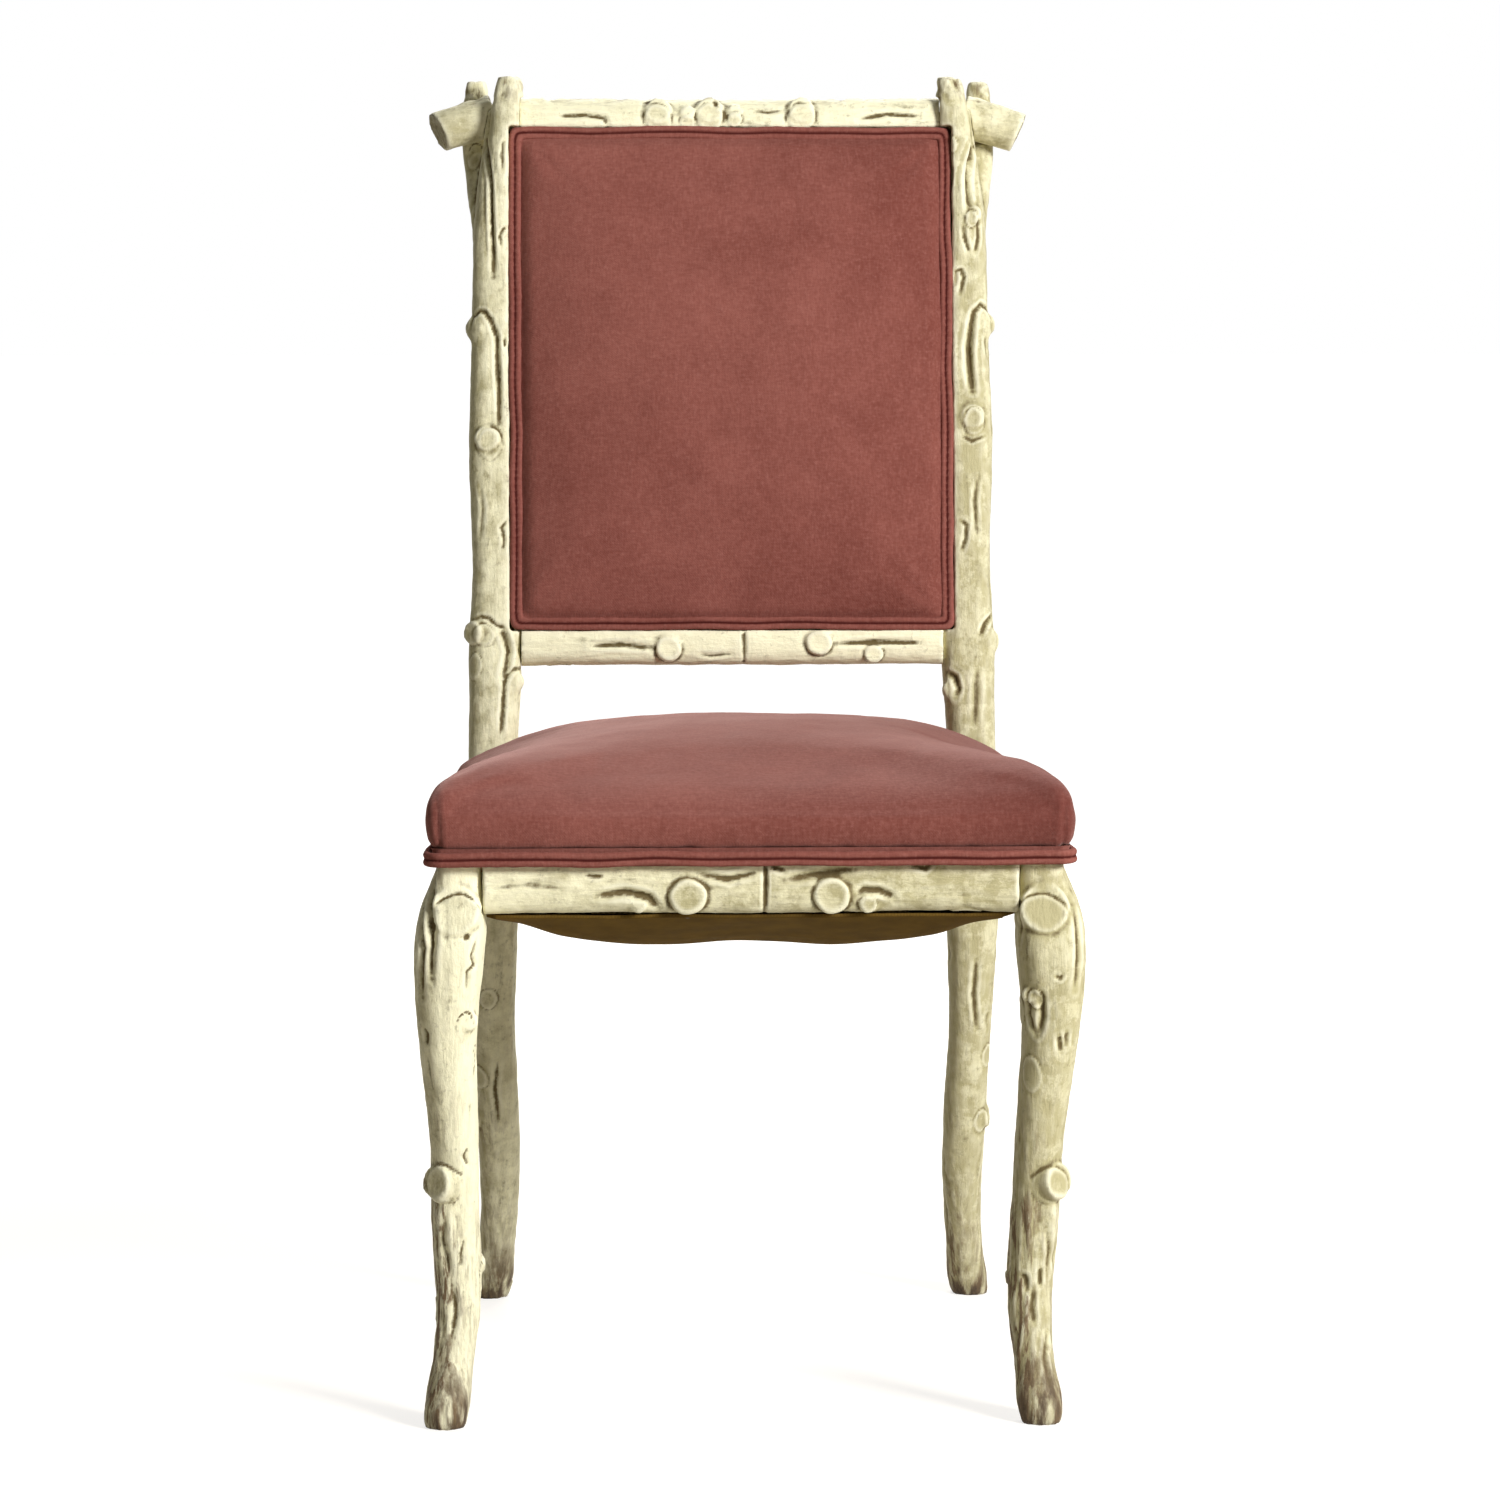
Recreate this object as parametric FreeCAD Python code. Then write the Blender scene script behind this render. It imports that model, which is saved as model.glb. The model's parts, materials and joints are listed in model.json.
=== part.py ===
import FreeCAD
import Part
import math
import os

from FreeCAD import Vector

# Faux bois side chair: a doweled wooden frame carved as pruned branches, with an upholstered back and
# a sprung, domed seat. Millimetres, +Z up, +Y to the rear, +X to the right of someone who faces the chair.
# The origin is on the floor, under the middle of the chair's box.

# Driving dimensions
RAIL_FACE_Y = -274.4  # front face of the front seat rail
SEAT_DEPTH = 440.0  # from that face to the axis of the rear posts at seat level
LEAN_START_Z = 500.0  # the back leans from here upward
LEAN_DEG = 8.63
RAIL_BOTTOM_Z = 396.0
RAIL_TOP_Z = 446.0
RAIL_HALF_DEPTH = 15.0  # half the thickness of a seat rail
LEG_FACE_X = 203.5  # where the front rail butts against a front leg
LEG_REAR = 42.0  # where a side rail butts against a front leg, behind the rail face
POST_FRONT = 418.0  # where a side rail butts against a rear post, behind the rail face
SIDE_RAIL_FRONT_X = 222.2  # middle of a side rail at its two ends
SIDE_RAIL_REAR_X = 203.0
POST_FACE_X = 184.0  # where the rear seat rail butts against a rear post
BACK_FACE_X = 177.0  # where the back rails butt against a rear post

# Upholstered back, in the back's own leaning frame
PANEL_HALF_X = 186.0
PANEL_LOW_Z = 576.0
PANEL_HIGH_Z = 995.0
PANEL_CORNER = 9.0
POST_LEDGE = 9.0  # depth of the ledge on the posts, in front of and behind the post axis
RAIL_LEDGE = 10.3  # the same on the two back rails
FLANGE_BASE = 11.9
FLANGE_THICK = 1.6
CROWN_RISE = 23.0

# Upholstered seat
SEAT_FRONT = -9.0  # edges of the cushion at its widest, behind the rail face
SEAT_REAR = 463.0
SEAT_HALF_FRONT = 248.5
SEAT_HALF_REAR = 227.0
SEAT_CORNER = 14.0
SKIRT_Z = 434.0
SKIRT_INSET = 6.5  # the skirt on the rails stands in from the widest line by this
SEAT_CROWN_Z = 522.0
CLOTH = 2.0
UPPER_SAG = 10.0  # how far the crosswise webbing gives under the springs
LOWER_SAG = 17.5  # the same for the lengthwise webbing below it

# Fasteners, cords and straps
DOWEL_R = 5.0
BACK_DOWEL_R = 4.0
DOWEL_HALF = 20.0
SIDE_DOWEL_INTO_FRAME = 15.0
SEAT_WELT_R = 3.0
BACK_WELT_R = 2.7
STRAP_WIDTH = 50.0
STRAP_THICK = 1.3
SPRING_R = 24.0
SPRING_WIRE_R = 1.6
SPRING_TURNS = 5
SCREW_R = 2.0
SCREW_HEAD_R = 4.0
TACK_HEAD_R = 3.5

POST_Y = RAIL_FACE_Y + SEAT_DEPTH
LEAN = math.radians(LEAN_DEG)
X_AXIS = Vector(1, 0, 0)
Y_AXIS = Vector(0, 1, 0)
Z_AXIS = Vector(0, 0, 1)
FRONT = Vector(0, -1, 0)
FAR = 400.0  # longer than any piece is thick, for cutting tools and rays

parts = {}


# Frames of reference

def depth(behind_rail_face):
    """Y of a place given as a distance behind the front rail's face."""
    return RAIL_FACE_Y + behind_rail_face


def lean_y(z):
    """Y of the leaning post axis at height z."""
    return POST_Y + (z - LEAN_START_Z) * math.tan(LEAN)


def up_back(z):
    """Distance along the leaning back that lies at height z on the post axis."""
    return (z - LEAN_START_Z) / math.cos(LEAN)


BACK_FRAME = FreeCAD.Placement(
    Vector(0, POST_Y, LEAN_START_Z), FreeCAD.Rotation(X_AXIS, -LEAN_DEG)
)


def to_back(shape):
    """Moves a shape from the back's own frame, with Z up along the back and -Y forward, to the chair's."""
    moved = shape.copy()
    moved.Placement = BACK_FRAME.multiply(moved.Placement)
    return moved


# Basic forms

def box(low, high):
    """A block between two opposite corners."""
    size = Vector(*high) - Vector(*low)
    return Part.makeBox(size.x, size.y, size.z, Vector(*low))


def one_solid(shape):
    """The single solid of a boolean's result, or its largest where a cut leaves crumbs."""
    return max(shape.Solids, key=lambda solid: solid.Volume)


def ring(centre, across, along, half_across, half_along, square=2.0, count=12):
    """A closed smooth outline: an ellipse at square 2, close to a rounded box at square 4."""
    points = []
    for step in range(count):
        angle = 2 * math.pi * step / count
        c, s = math.cos(angle), math.sin(angle)
        u = half_across * math.copysign(abs(c) ** (2 / square), c)
        v = half_along * math.copysign(abs(s) ** (2 / square), s)
        points.append(centre + across * u + along * v)
    curve = Part.BSplineCurve()
    curve.interpolate(points, PeriodicFlag=True)
    return Part.Wire(curve.toShape())


def branch(sections):
    """An upright branch through level sections of (x, y, z, half width, half depth, squareness)."""
    rings = [
        ring(Vector(x, y, z), X_AXIS, Y_AXIS, half_x, half_y, square)
        for x, y, z, half_x, half_y, square in sections
    ]
    return Part.makeLoft(rings, True)


def surface_point(shape, inside, direction):
    """Where a line through a point, followed in a direction, last leaves a shape."""
    ray = Part.makeLine(inside - direction * FAR, inside + direction * FAR)
    ends = [vertex.Point for vertex in shape.common(ray).Vertexes]
    return max(ends, key=lambda point: (point - inside).dot(direction))


def knot(shape, inside, direction, radius, proud, spread=1.2, depth_in=9.0):
    """A pruned stub: a short cone with a flat cut face, standing proud of the branch that it grows from."""
    direction = Vector(*direction).normalize()
    top = surface_point(shape, inside, direction) + direction * proud
    height = proud + depth_in
    return Part.makeCone(radius * spread, radius, height, top - direction * height, direction)


def with_knots(shape, axis_y, knots):
    """Fuses pruned stubs onto a branch. Each is (x, z, direction, radius, proud)."""
    stubs = [
        knot(shape, Vector(x, axis_y(z), z), direction, radius, proud)
        for x, z, direction, radius, proud in knots
    ]
    return one_solid(shape.fuse(stubs))


def dowel(middle, direction, radius, before, after):
    """A round dowel that runs from before to after its joint's face."""
    return Part.makeCylinder(radius, before + after, middle - direction * before, direction)


# Joint positions

def side_rail_x(behind_rail_face):
    """Middle of the right side rail, which runs inward from the front leg to the rear post."""
    share = (behind_rail_face - LEG_REAR) / (POST_FRONT - LEG_REAR)
    return SIDE_RAIL_FRONT_X + (SIDE_RAIL_REAR_X - SIDE_RAIL_FRONT_X) * share


DOWEL_ZS = (RAIL_BOTTOM_Z + 13.0, RAIL_TOP_Z - 13.0)
REAR_RAIL_Y = POST_Y
FRONT_RAIL_Y = depth(RAIL_HALF_DEPTH)


def rail_dowels(face_x, y):
    """Two dowels through each end of a rail that runs across the chair."""
    return [
        dowel(Vector(side * face_x, y, z), X_AXIS, DOWEL_R, DOWEL_HALF, DOWEL_HALF)
        for side in (-1, 1)
        for z in DOWEL_ZS
    ]


def side_rail_dowels(side):
    """Two dowels at each end of a side rail."""
    made = []
    for z in DOWEL_ZS:
        front = Vector(side * side_rail_x(LEG_REAR), depth(LEG_REAR), z)
        rear = Vector(side * side_rail_x(POST_FRONT), depth(POST_FRONT), z)
        made.append(dowel(front, Y_AXIS, DOWEL_R, SIDE_DOWEL_INTO_FRAME, DOWEL_HALF))
        made.append(dowel(rear, Y_AXIS, DOWEL_R, DOWEL_HALF, SIDE_DOWEL_INTO_FRAME))
    return made


CREST_Z = 998.0
LOWER_RAIL_Z = 568.0
CREST_SET_BACK = 2.0  # crest axis behind the post axis


def back_rail_dowels(z, set_back):
    """Two dowels through each end of a back rail, one above the other."""
    made = []
    for side in (-1, 1):
        for rise in (-9.0, 9.0):
            middle = Vector(side * BACK_FACE_X, lean_y(z + rise) + set_back, z + rise)
            made.append(dowel(middle, X_AXIS, BACK_DOWEL_R, DOWEL_HALF, DOWEL_HALF * 0.8))
    return made


front_dowels = rail_dowels(LEG_FACE_X, FRONT_RAIL_Y)
rear_dowels = rail_dowels(POST_FACE_X, REAR_RAIL_Y)
side_dowels = side_rail_dowels(-1) + side_rail_dowels(1)
crest_dowels = back_rail_dowels(CREST_Z, CREST_SET_BACK)
lower_dowels = back_rail_dowels(LOWER_RAIL_Z, 0.0)


# Front legs: cabriole branches that end in a large pruned face under the seat rail

LEG_SECTIONS = (
    # x, behind the rail face, z, half width, half depth, squareness
    (229.0, 15.0, 0.0, 15.0, 16.0, 2.2),
    (228.8, 15.0, 6.0, 16.6, 17.8, 2.2),
    (225.5, 21.0, 34.0, 16.2, 17.5, 2.2),
    (220.8, 31.0, 79.0, 16.6, 17.5, 2.2),
    (220.6, 35.0, 112.0, 17.9, 18.5, 2.2),
    (223.0, 34.0, 156.0, 18.8, 19.5, 2.2),
    (223.8, 30.0, 204.0, 18.3, 19.0, 2.2),
    (226.7, 25.0, 251.0, 19.7, 20.5, 2.2),
    (230.2, 21.0, 298.0, 22.0, 23.0, 2.3),
    (230.4, 17.5, 345.0, 25.4, 27.5, 2.5),
    (228.8, 17.0, 376.0, 26.6, 28.5, 2.8),
    (226.0, 21.0, 404.0, 23.6, 23.5, 3.2),
    (221.0, 22.0, 433.0, 17.0, 21.8, 3.5),
    (220.3, 22.0, RAIL_TOP_Z, 17.2, 21.8, 3.6),
)
KNEE_FACE_R = 18.5
SPLAY_HEIGHT = 370.0
LEFT_SPLAY = 5.5
RIGHT_SPLAY = -5.5


def leg_axis_y(z):
    """Y of the leg's axis, read off its sections."""
    for low, high in zip(LEG_SECTIONS, LEG_SECTIONS[1:]):
        if low[2] <= z <= high[2]:
            share = (z - low[2]) / (high[2] - low[2])
            return depth(low[1] + (high[1] - low[1]) * share)
    return depth(LEG_SECTIONS[-1][1])


def front_leg(side, splay, knots):
    """One front leg with flat faces for its two rails, dowel holes, and its own splay and knots."""
    sections = []
    for x, y, z, half_x, half_y, square in LEG_SECTIONS:
        outward = splay * max(0.0, 1 - z / SPLAY_HEIGHT)
        sections.append((side * (x + outward), depth(y), z, half_x, half_y, square))
    leg = with_knots(branch(sections), leg_axis_y, knots)
    inner = sorted((0.0, side * LEG_FACE_X))
    rail_seat = box((inner[0], depth(-40), RAIL_BOTTOM_Z - 1), (inner[1], depth(80), RAIL_TOP_Z + 1))
    side_seat = box((-FAR, depth(LEG_REAR), RAIL_BOTTOM_Z - 1), (FAR, depth(90), RAIL_TOP_Z + 1))
    return one_solid(leg.cut([rail_seat, side_seat] + front_dowels + side_dowels))


LEFT_LEG_KNOTS = (
    (-224.0, 394.0, (-0.05, -1.0, 0.30), KNEE_FACE_R, 2.5),
    (-220.6, 314.0, (0.35, -1.0, 0.10), 7.0, 1.5),
    (-225.0, 186.0, (-0.70, -0.71, 0.12), 13.5, 3.5),
    (-225.0, 262.0, (-0.6, 0.8, 0.10), 10.0, 3.0),
    (-222.0, 118.0, (0.7, 0.7, 0.15), 8.0, 2.5),
)
RIGHT_LEG_KNOTS = (
    (222.5, 394.0, (0.0, -1.0, 0.30), KNEE_FACE_R, 2.5),
    (218.4, 331.0, (-0.35, -1.0, 0.15), 6.0, 2.0),
    (222.0, 185.0, (0.66, -0.75, 0.12), 13.5, 4.5),
    (226.0, 240.0, (0.5, 0.85, 0.10), 9.0, 3.0),
    (222.0, 105.0, (-0.8, 0.6, 0.10), 8.0, 2.5),
)


# Rear posts: each is one branch from the floor to the fork that holds the crest

POST_SECTIONS = (
    # x, behind the post axis at seat level, z, half width, half depth, squareness
    (206.5, 57.0, 0.0, 15.0, 17.0, 2.3),
    (205.5, 56.0, 6.0, 16.4, 18.0, 2.3),
    (202.2, 50.0, 30.0, 16.2, 18.0, 2.3),
    (198.2, 38.0, 85.0, 15.9, 18.0, 2.3),
    (198.6, 24.0, 157.0, 18.0, 20.0, 2.3),
    (202.0, 11.0, 240.0, 18.0, 21.0, 2.4),
    (202.8, 3.0, 315.0, 21.2, 22.5, 2.6),
    (202.4, 0.0, 396.0, 22.2, 23.0, 3.0),
    (202.0, 0.0, 450.0, 20.5, 22.5, 3.0),
)
POST_LEANING_SECTIONS = (
    # x, z, half width, half depth, squareness; the depth follows the lean
    (199.4, 530.0, 21.6, 20.0, 2.7),
    (198.6, 568.0, 22.4, 19.5, 2.8),
    (197.2, 620.0, 20.8, 19.0, 2.8),
    (198.0, 690.0, 21.5, 19.0, 2.8),
    (198.4, 752.0, 22.0, 19.0, 2.8),
    (197.4, 800.0, 21.0, 19.0, 2.8),
    (196.8, 870.0, 20.4, 19.0, 2.8),
    (195.6, 930.0, 19.2, 19.5, 2.8),
    (191.6, 990.0, 15.2, 17.0, 2.8),
    (190.6, 1012.0, 13.2, 14.5, 2.6),
)
FRONT_STEM = (
    # x, ahead of the post axis, z, half width, half depth
    (196.5, 5.0, 872.0, 11.5, 11.5),
    (194.6, 11.0, 935.0, 13.8, 12.5),
    (190.0, 13.5, 985.0, 13.6, 12.0),
    (186.4, 14.0, 1022.0, 13.0, 11.5),
    (185.6, 14.0, 1040.0, 10.0, 9.0),
)
REAR_STEM = (
    # x, behind the post axis, z, half width, half depth
    (206.5, 5.0, 872.0, 9.5, 10.0),
    (209.8, 18.0, 935.0, 10.8, 10.0),
    (213.0, 31.0, 985.0, 13.2, 10.5),
    (213.6, 34.0, 1020.0, 11.4, 9.5),
    (213.8, 34.5, 1037.0, 8.0, 7.5),
)
LOG_SET_BACK = 12.0  # crest log ends lie this far behind the post axis
LOG_ROOT = (198.0, 1008.5)  # x and z of the log end's axis at the post
LOG_TIP = (246.0, 993.5)
LOG_ROOT_R = 18.2
LOG_TIP_R = 16.8


def log_axis(side):
    """Root and tip of a log end's axis, drooping outward."""
    y = lean_y(LOG_ROOT[1]) + LOG_SET_BACK
    root = Vector(side * LOG_ROOT[0], y, LOG_ROOT[1])
    tip = Vector(side * LOG_TIP[0], y - 3.0, LOG_TIP[1])
    return root, tip


def log_end_dowel(side):
    root, tip = log_axis(side)
    outward = (tip - root).normalize()
    return dowel(root + outward * 12, outward, BACK_DOWEL_R, 16.0, 16.0)


log_dowels = [log_end_dowel(-1), log_end_dowel(1)]


def panel_recess(ledge_low, ledge_high, low_z, high_z):
    """Front and rear recesses for the upholstery, as two tools in the chair's frame."""
    half = PANEL_HALF_X + 0.4
    low, high = up_back(low_z) - 0.4, up_back(high_z) + 0.4
    front = box((-half, -FAR, low), (half, -ledge_high, high))
    rear = box((-half, ledge_low, low), (half, FAR, high))
    return [to_back(front), to_back(rear)]


def rear_post(side, knots):
    """One rear post with its fork, rail seats, upholstery recesses and dowel holes."""
    low = [(side * x, POST_Y + y, z, hx, hy, sq) for x, y, z, hx, hy, sq in POST_SECTIONS]
    high = [(side * x, lean_y(z), z, hx, hy, sq) for x, z, hx, hy, sq in POST_LEANING_SECTIONS]
    front = branch([(side * x, lean_y(z) - y, z, hx, hy, 2.2) for x, y, z, hx, hy in FRONT_STEM])
    rear = branch([(side * x, lean_y(z) + y, z, hx, hy, 2.2) for x, y, z, hx, hy in REAR_STEM])
    post = one_solid(branch(low + high).fuse([front, rear]))
    post = with_knots(post, post_axis_y, knots)
    tools = panel_recess(POST_LEDGE, POST_LEDGE, PANEL_LOW_Z, PANEL_HIGH_Z)
    side_seat_y = depth(POST_FRONT)
    tools.append(box((-FAR, side_seat_y - 60, RAIL_BOTTOM_Z - 1), (FAR, side_seat_y, RAIL_TOP_Z + 1)))
    seats = (
        (POST_FACE_X, POST_Y - 60, POST_Y + 60, RAIL_BOTTOM_Z - 1, RAIL_TOP_Z + 1),
        (BACK_FACE_X, POST_Y - 20, POST_Y + 60, LOWER_RAIL_Z - 23, LOWER_RAIL_Z + 24),
        (BACK_FACE_X, POST_Y, POST_Y + FAR, CREST_Z - 25, CREST_Z + 25),
    )
    for face_x, y_low, y_high, z_low, z_high in seats:
        across = sorted((0.0, side * face_x))
        tools.append(box((across[0], y_low, z_low), (across[1], y_high, z_high)))
    holes = rear_dowels + side_dowels + crest_dowels + lower_dowels + log_dowels
    return one_solid(post.cut(tools + holes))


def post_axis_y(z):
    """Y of a post's axis, for placing knots on it."""
    if z >= LEAN_START_Z:
        return lean_y(z)
    for low, high in zip(POST_SECTIONS, POST_SECTIONS[1:]):
        if low[2] <= z <= high[2]:
            share = (z - low[2]) / (high[2] - low[2])
            return POST_Y + low[1] + (high[1] - low[1]) * share
    return POST_Y


LEFT_POST_KNOTS = (
    (-218.0, 972.0, (-0.35, -1.0, 0.2), 8.0, 2.0),
    (-205.0, 828.0, (-0.75, -0.7, 0.05), 10.0, 2.5),
    (-203.5, 736.0, (-0.1, -1.0, 0.1), 10.0, 2.5),
    (-204.0, 574.0, (-0.7, -0.75, 0.1), 9.5, 3.0),
    (-186.0, 534.0, (0.3, -1.0, 0.1), 8.0, 2.0),
    (-199.0, 690.0, (-0.4, 1.0, 0.1), 10.0, 2.5),
    (-199.0, 160.0, (-0.9, -0.3, 0.1), 9.0, 2.0),
    (-199.0, 850.0, (-0.2, 1.0, 0.1), 9.0, 2.5),
)
RIGHT_POST_KNOTS = (
    (202.0, 921.0, (0.1, -1.0, 0.2), 7.0, 2.0),
    (205.0, 830.0, (0.85, -0.55, 0.2), 10.0, 3.0),
    (203.0, 754.0, (0.0, -1.0, 0.1), 9.5, 2.0),
    (204.0, 566.0, (0.85, -0.5, 0.1), 9.5, 2.5),
    (188.0, 526.0, (-0.3, -1.0, 0.1), 8.0, 2.0),
    (199.0, 158.0, (0.95, -0.2, 0.1), 9.0, 2.5),
    (199.0, 720.0, (0.4, 1.0, 0.1), 10.0, 2.5),
    (200.0, 300.0, (0.5, 0.9, 0.1), 9.0, 2.5),
)


def log_end(side, post):
    """A short log scribed to the fork of a post, with its outer end sawn off."""
    root, tip = log_axis(side)
    outward = (tip - root).normalize()
    length = (tip - root).Length
    log = Part.makeCone(LOG_ROOT_R, LOG_TIP_R, length + 12, root, outward)
    sawn_normal = (outward + Vector(0, 0, -0.14) + FRONT * (0.25 if side < 0 else 0.02)).normalize()
    beyond = Part.makeCylinder(FAR, FAR, tip, sawn_normal)
    return one_solid(log.cut([beyond, post, log_end_dowel(side)]))


# Seat rails and back rails: logs with flat ends

def cross_log(stations, centre, tilt, half_along, half_deep, square):
    """A log across the chair. Stations are (x, swell); tilt leans its section back."""
    up = Vector(0, math.sin(tilt), math.cos(tilt))
    deep = Vector(0, math.cos(tilt), -math.sin(tilt))
    rings = []
    for x, swell in stations:
        middle = Vector(x, centre.y, centre.z)
        rings.append(ring(middle, deep, up, half_deep - swell * 0.5, half_along - swell, square))
    return Part.makeLoft(rings, True)


def seat_rail_stations(face_x):
    return ((-face_x, 0.0), (-face_x * 0.55, 0.9), (0.0, 0.2), (face_x * 0.5, 1.0), (face_x, 0.0))


RAIL_HALF_Z = (RAIL_TOP_Z - RAIL_BOTTOM_Z) / 2
RAIL_MID_Z = (RAIL_TOP_Z + RAIL_BOTTOM_Z) / 2
RAIL_SQUARE = 3.2
FRONT_RAIL_KNOTS = (
    (-48.1, 410.8, (0.0, -1.0, -0.05), 13.0, 2.0),
    (61.0, 411.0, (0.0, -1.0, -0.05), 13.0, 2.0),
    (88.4, 404.5, (0.1, -1.0, -0.1), 6.5, 1.6),
    (-83.6, 404.5, (-0.2, -1.0, -0.1), 6.0, 1.6),
)
LOWER_RAIL_KNOTS = (
    (-53.7, 562.0, (0.0, -1.0, 0.1), 10.5, 1.8),
    (72.4, 566.5, (0.0, -1.0, 0.1), 10.5, 1.8),
    (118.0, 558.5, (0.0, -1.0, -0.1), 7.5, 1.8),
)
CREST_KNOTS = (
    (-60.7, 1007.0, (0.0, -1.0, 0.3), 11.0, 2.0),
    (-35.5, 1005.0, (0.0, -1.0, 0.3), 6.0, 2.0),
    (-17.0, 1008.0, (0.0, -1.0, 0.3), 11.0, 2.0),
    (4.0, 1006.0, (0.0, -1.0, 0.3), 6.0, 2.0),
    (60.4, 1008.0, (0.0, -1.0, 0.3), 11.0, 2.0),
    (30.0, 1000.0, (0.0, 1.0, 0.2), 11.0, 2.5),
    (-95.0, 1000.0, (0.0, 1.0, 0.2), 8.0, 2.0),
)
SIDE_RAIL_KNOTS = (
    # behind the rail face, z, radius, proud
    (130.0, 416.0, 12.0, 2.0),
    (255.0, 412.0, 13.0, 2.0),
    (330.0, 420.0, 7.0, 1.6),
)


def front_seat_rail():
    middle = Vector(0, FRONT_RAIL_Y, RAIL_MID_Z)
    log = cross_log(seat_rail_stations(LEG_FACE_X), middle, 0.0, RAIL_HALF_Z, RAIL_HALF_DEPTH, RAIL_SQUARE)
    log = with_knots(log, lambda z: FRONT_RAIL_Y, FRONT_RAIL_KNOTS)
    return one_solid(log.cut(front_dowels))


def rear_seat_rail():
    middle = Vector(0, REAR_RAIL_Y, RAIL_MID_Z)
    log = cross_log(seat_rail_stations(POST_FACE_X), middle, 0.0, RAIL_HALF_Z, 14.0, RAIL_SQUARE)
    return one_solid(log.cut(rear_dowels))


def side_rail(side):
    """A side rail from front leg to rear post, with knots on its outer face."""
    rings = []
    for share, swell in ((0.0, 0.0), (0.3, 0.9), (0.6, 0.2), (0.8, 0.9), (1.0, 0.0)):
        y = LEG_REAR + (POST_FRONT - LEG_REAR) * share
        middle = Vector(side * side_rail_x(y), depth(y), RAIL_MID_Z)
        rings.append(
            ring(middle, X_AXIS, Z_AXIS, RAIL_HALF_DEPTH - swell * 0.5, RAIL_HALF_Z - swell, RAIL_SQUARE)
        )
    log = Part.makeLoft(rings, True)
    stubs = [
        knot(log, Vector(side * side_rail_x(y), depth(y), z), (side, 0, -0.05), radius, proud)
        for y, z, radius, proud in SIDE_RAIL_KNOTS
    ]
    return one_solid(one_solid(log.fuse(stubs)).cut(side_dowels))


def crest_rail():
    middle = Vector(0, lean_y(CREST_Z) + CREST_SET_BACK, CREST_Z)
    stations = ((-BACK_FACE_X, 0.0), (-100.0, 0.7), (0.0, 1.2), (100.0, 0.8), (BACK_FACE_X, 0.0))
    log = cross_log(stations, middle, LEAN, 24.5, 18.0, 2.4)
    log = with_knots(log, lambda z: middle.y, CREST_KNOTS)
    tools = panel_recess(POST_LEDGE, RAIL_LEDGE, PANEL_LOW_Z, PANEL_HIGH_Z)
    return one_solid(log.cut(tools + crest_dowels))


def lower_back_rail():
    middle = Vector(0, lean_y(LOWER_RAIL_Z), LOWER_RAIL_Z)
    stations = ((-BACK_FACE_X, 0.0), (-90.0, 0.8), (0.0, 0.4), (100.0, 0.9), (BACK_FACE_X, 0.0))
    log = cross_log(stations, middle, LEAN, 21.0, 16.5, 2.6)
    log = with_knots(log, lambda z: middle.y, LOWER_RAIL_KNOTS)
    tools = panel_recess(POST_LEDGE, RAIL_LEDGE, PANEL_LOW_Z, PANEL_HIGH_Z)
    return one_solid(log.cut(tools + lower_dowels))


# Corner blocks and their screws

BLOCK_LOW_Z = RAIL_BOTTOM_Z + 8
BLOCK_HIGH_Z = RAIL_TOP_Z - 14
GAP = 0.3
FRONT_REACH = (138.0, 112.0)  # along the front rail and along the side rail
REAR_REACH = (122.0, 352.0)


def side_rail_inner(y):
    return side_rail_x(y) - RAIL_HALF_DEPTH - GAP


def block_outline(at_front):
    """Corners of a right-hand corner block in plan, notched round the leg or post."""
    if at_front:
        rail = 2 * RAIL_HALF_DEPTH + GAP
        return (
            (FRONT_REACH[0], rail),
            (LEG_FACE_X - GAP, rail),
            (LEG_FACE_X - GAP, LEG_REAR + 3),
            (side_rail_inner(LEG_REAR + 3), LEG_REAR + 3),
            (side_rail_inner(FRONT_REACH[1]), FRONT_REACH[1]),
        )
    rail = SEAT_DEPTH - 14.0 - GAP
    return (
        (REAR_REACH[0], rail),
        (POST_FACE_X - 2 * GAP, rail),
        (POST_FACE_X - 2 * GAP, POST_FRONT - 3),
        (side_rail_inner(POST_FRONT - 3), POST_FRONT - 3),
        (side_rail_inner(REAR_REACH[1]), REAR_REACH[1]),
    )


def block_screws(at_front, side):
    """Two screws through a corner block's slanting face, one into each rail."""
    outline = block_outline(at_front)
    (x0, y0), (x1, y1) = outline[0], outline[-1]
    toward_rail = Vector(0, -1 if at_front else 1, 0)
    screws = []
    for share, direction in ((0.42, toward_rail), (0.62, Vector(side, 0, 0))):
        x, y = x0 + (x1 - x0) * share, y0 + (y1 - y0) * share
        seat = Vector(side * x, depth(y), (BLOCK_LOW_Z + BLOCK_HIGH_Z) / 2 + (share - 0.5) * 60)
        length = abs(y - y0) + 12 if direction.x == 0 else abs(side_rail_inner(y) - x) + 16
        head = Part.makeCone(SCREW_HEAD_R, SCREW_R, 5.0, seat + direction * 3, direction)
        shank = Part.makeCylinder(SCREW_R, length - 3, seat + direction * 3, direction)
        access = Part.makeCylinder(SCREW_HEAD_R + 0.2, 20, seat + direction * 3, direction * -1)
        screws.append((one_solid(head.fuse(shank)), access))
    return screws


def corner_block(at_front, side):
    corners = [Vector(side * x, depth(y), BLOCK_LOW_Z) for x, y in block_outline(at_front)]
    face = Part.Face(Part.makePolygon(corners + corners[:1]))
    block = face.extrude(Vector(0, 0, BLOCK_HIGH_Z - BLOCK_LOW_Z))
    tools = [tool for pair in block_screws(at_front, side) for tool in pair]
    return one_solid(block.cut(tools))


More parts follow.
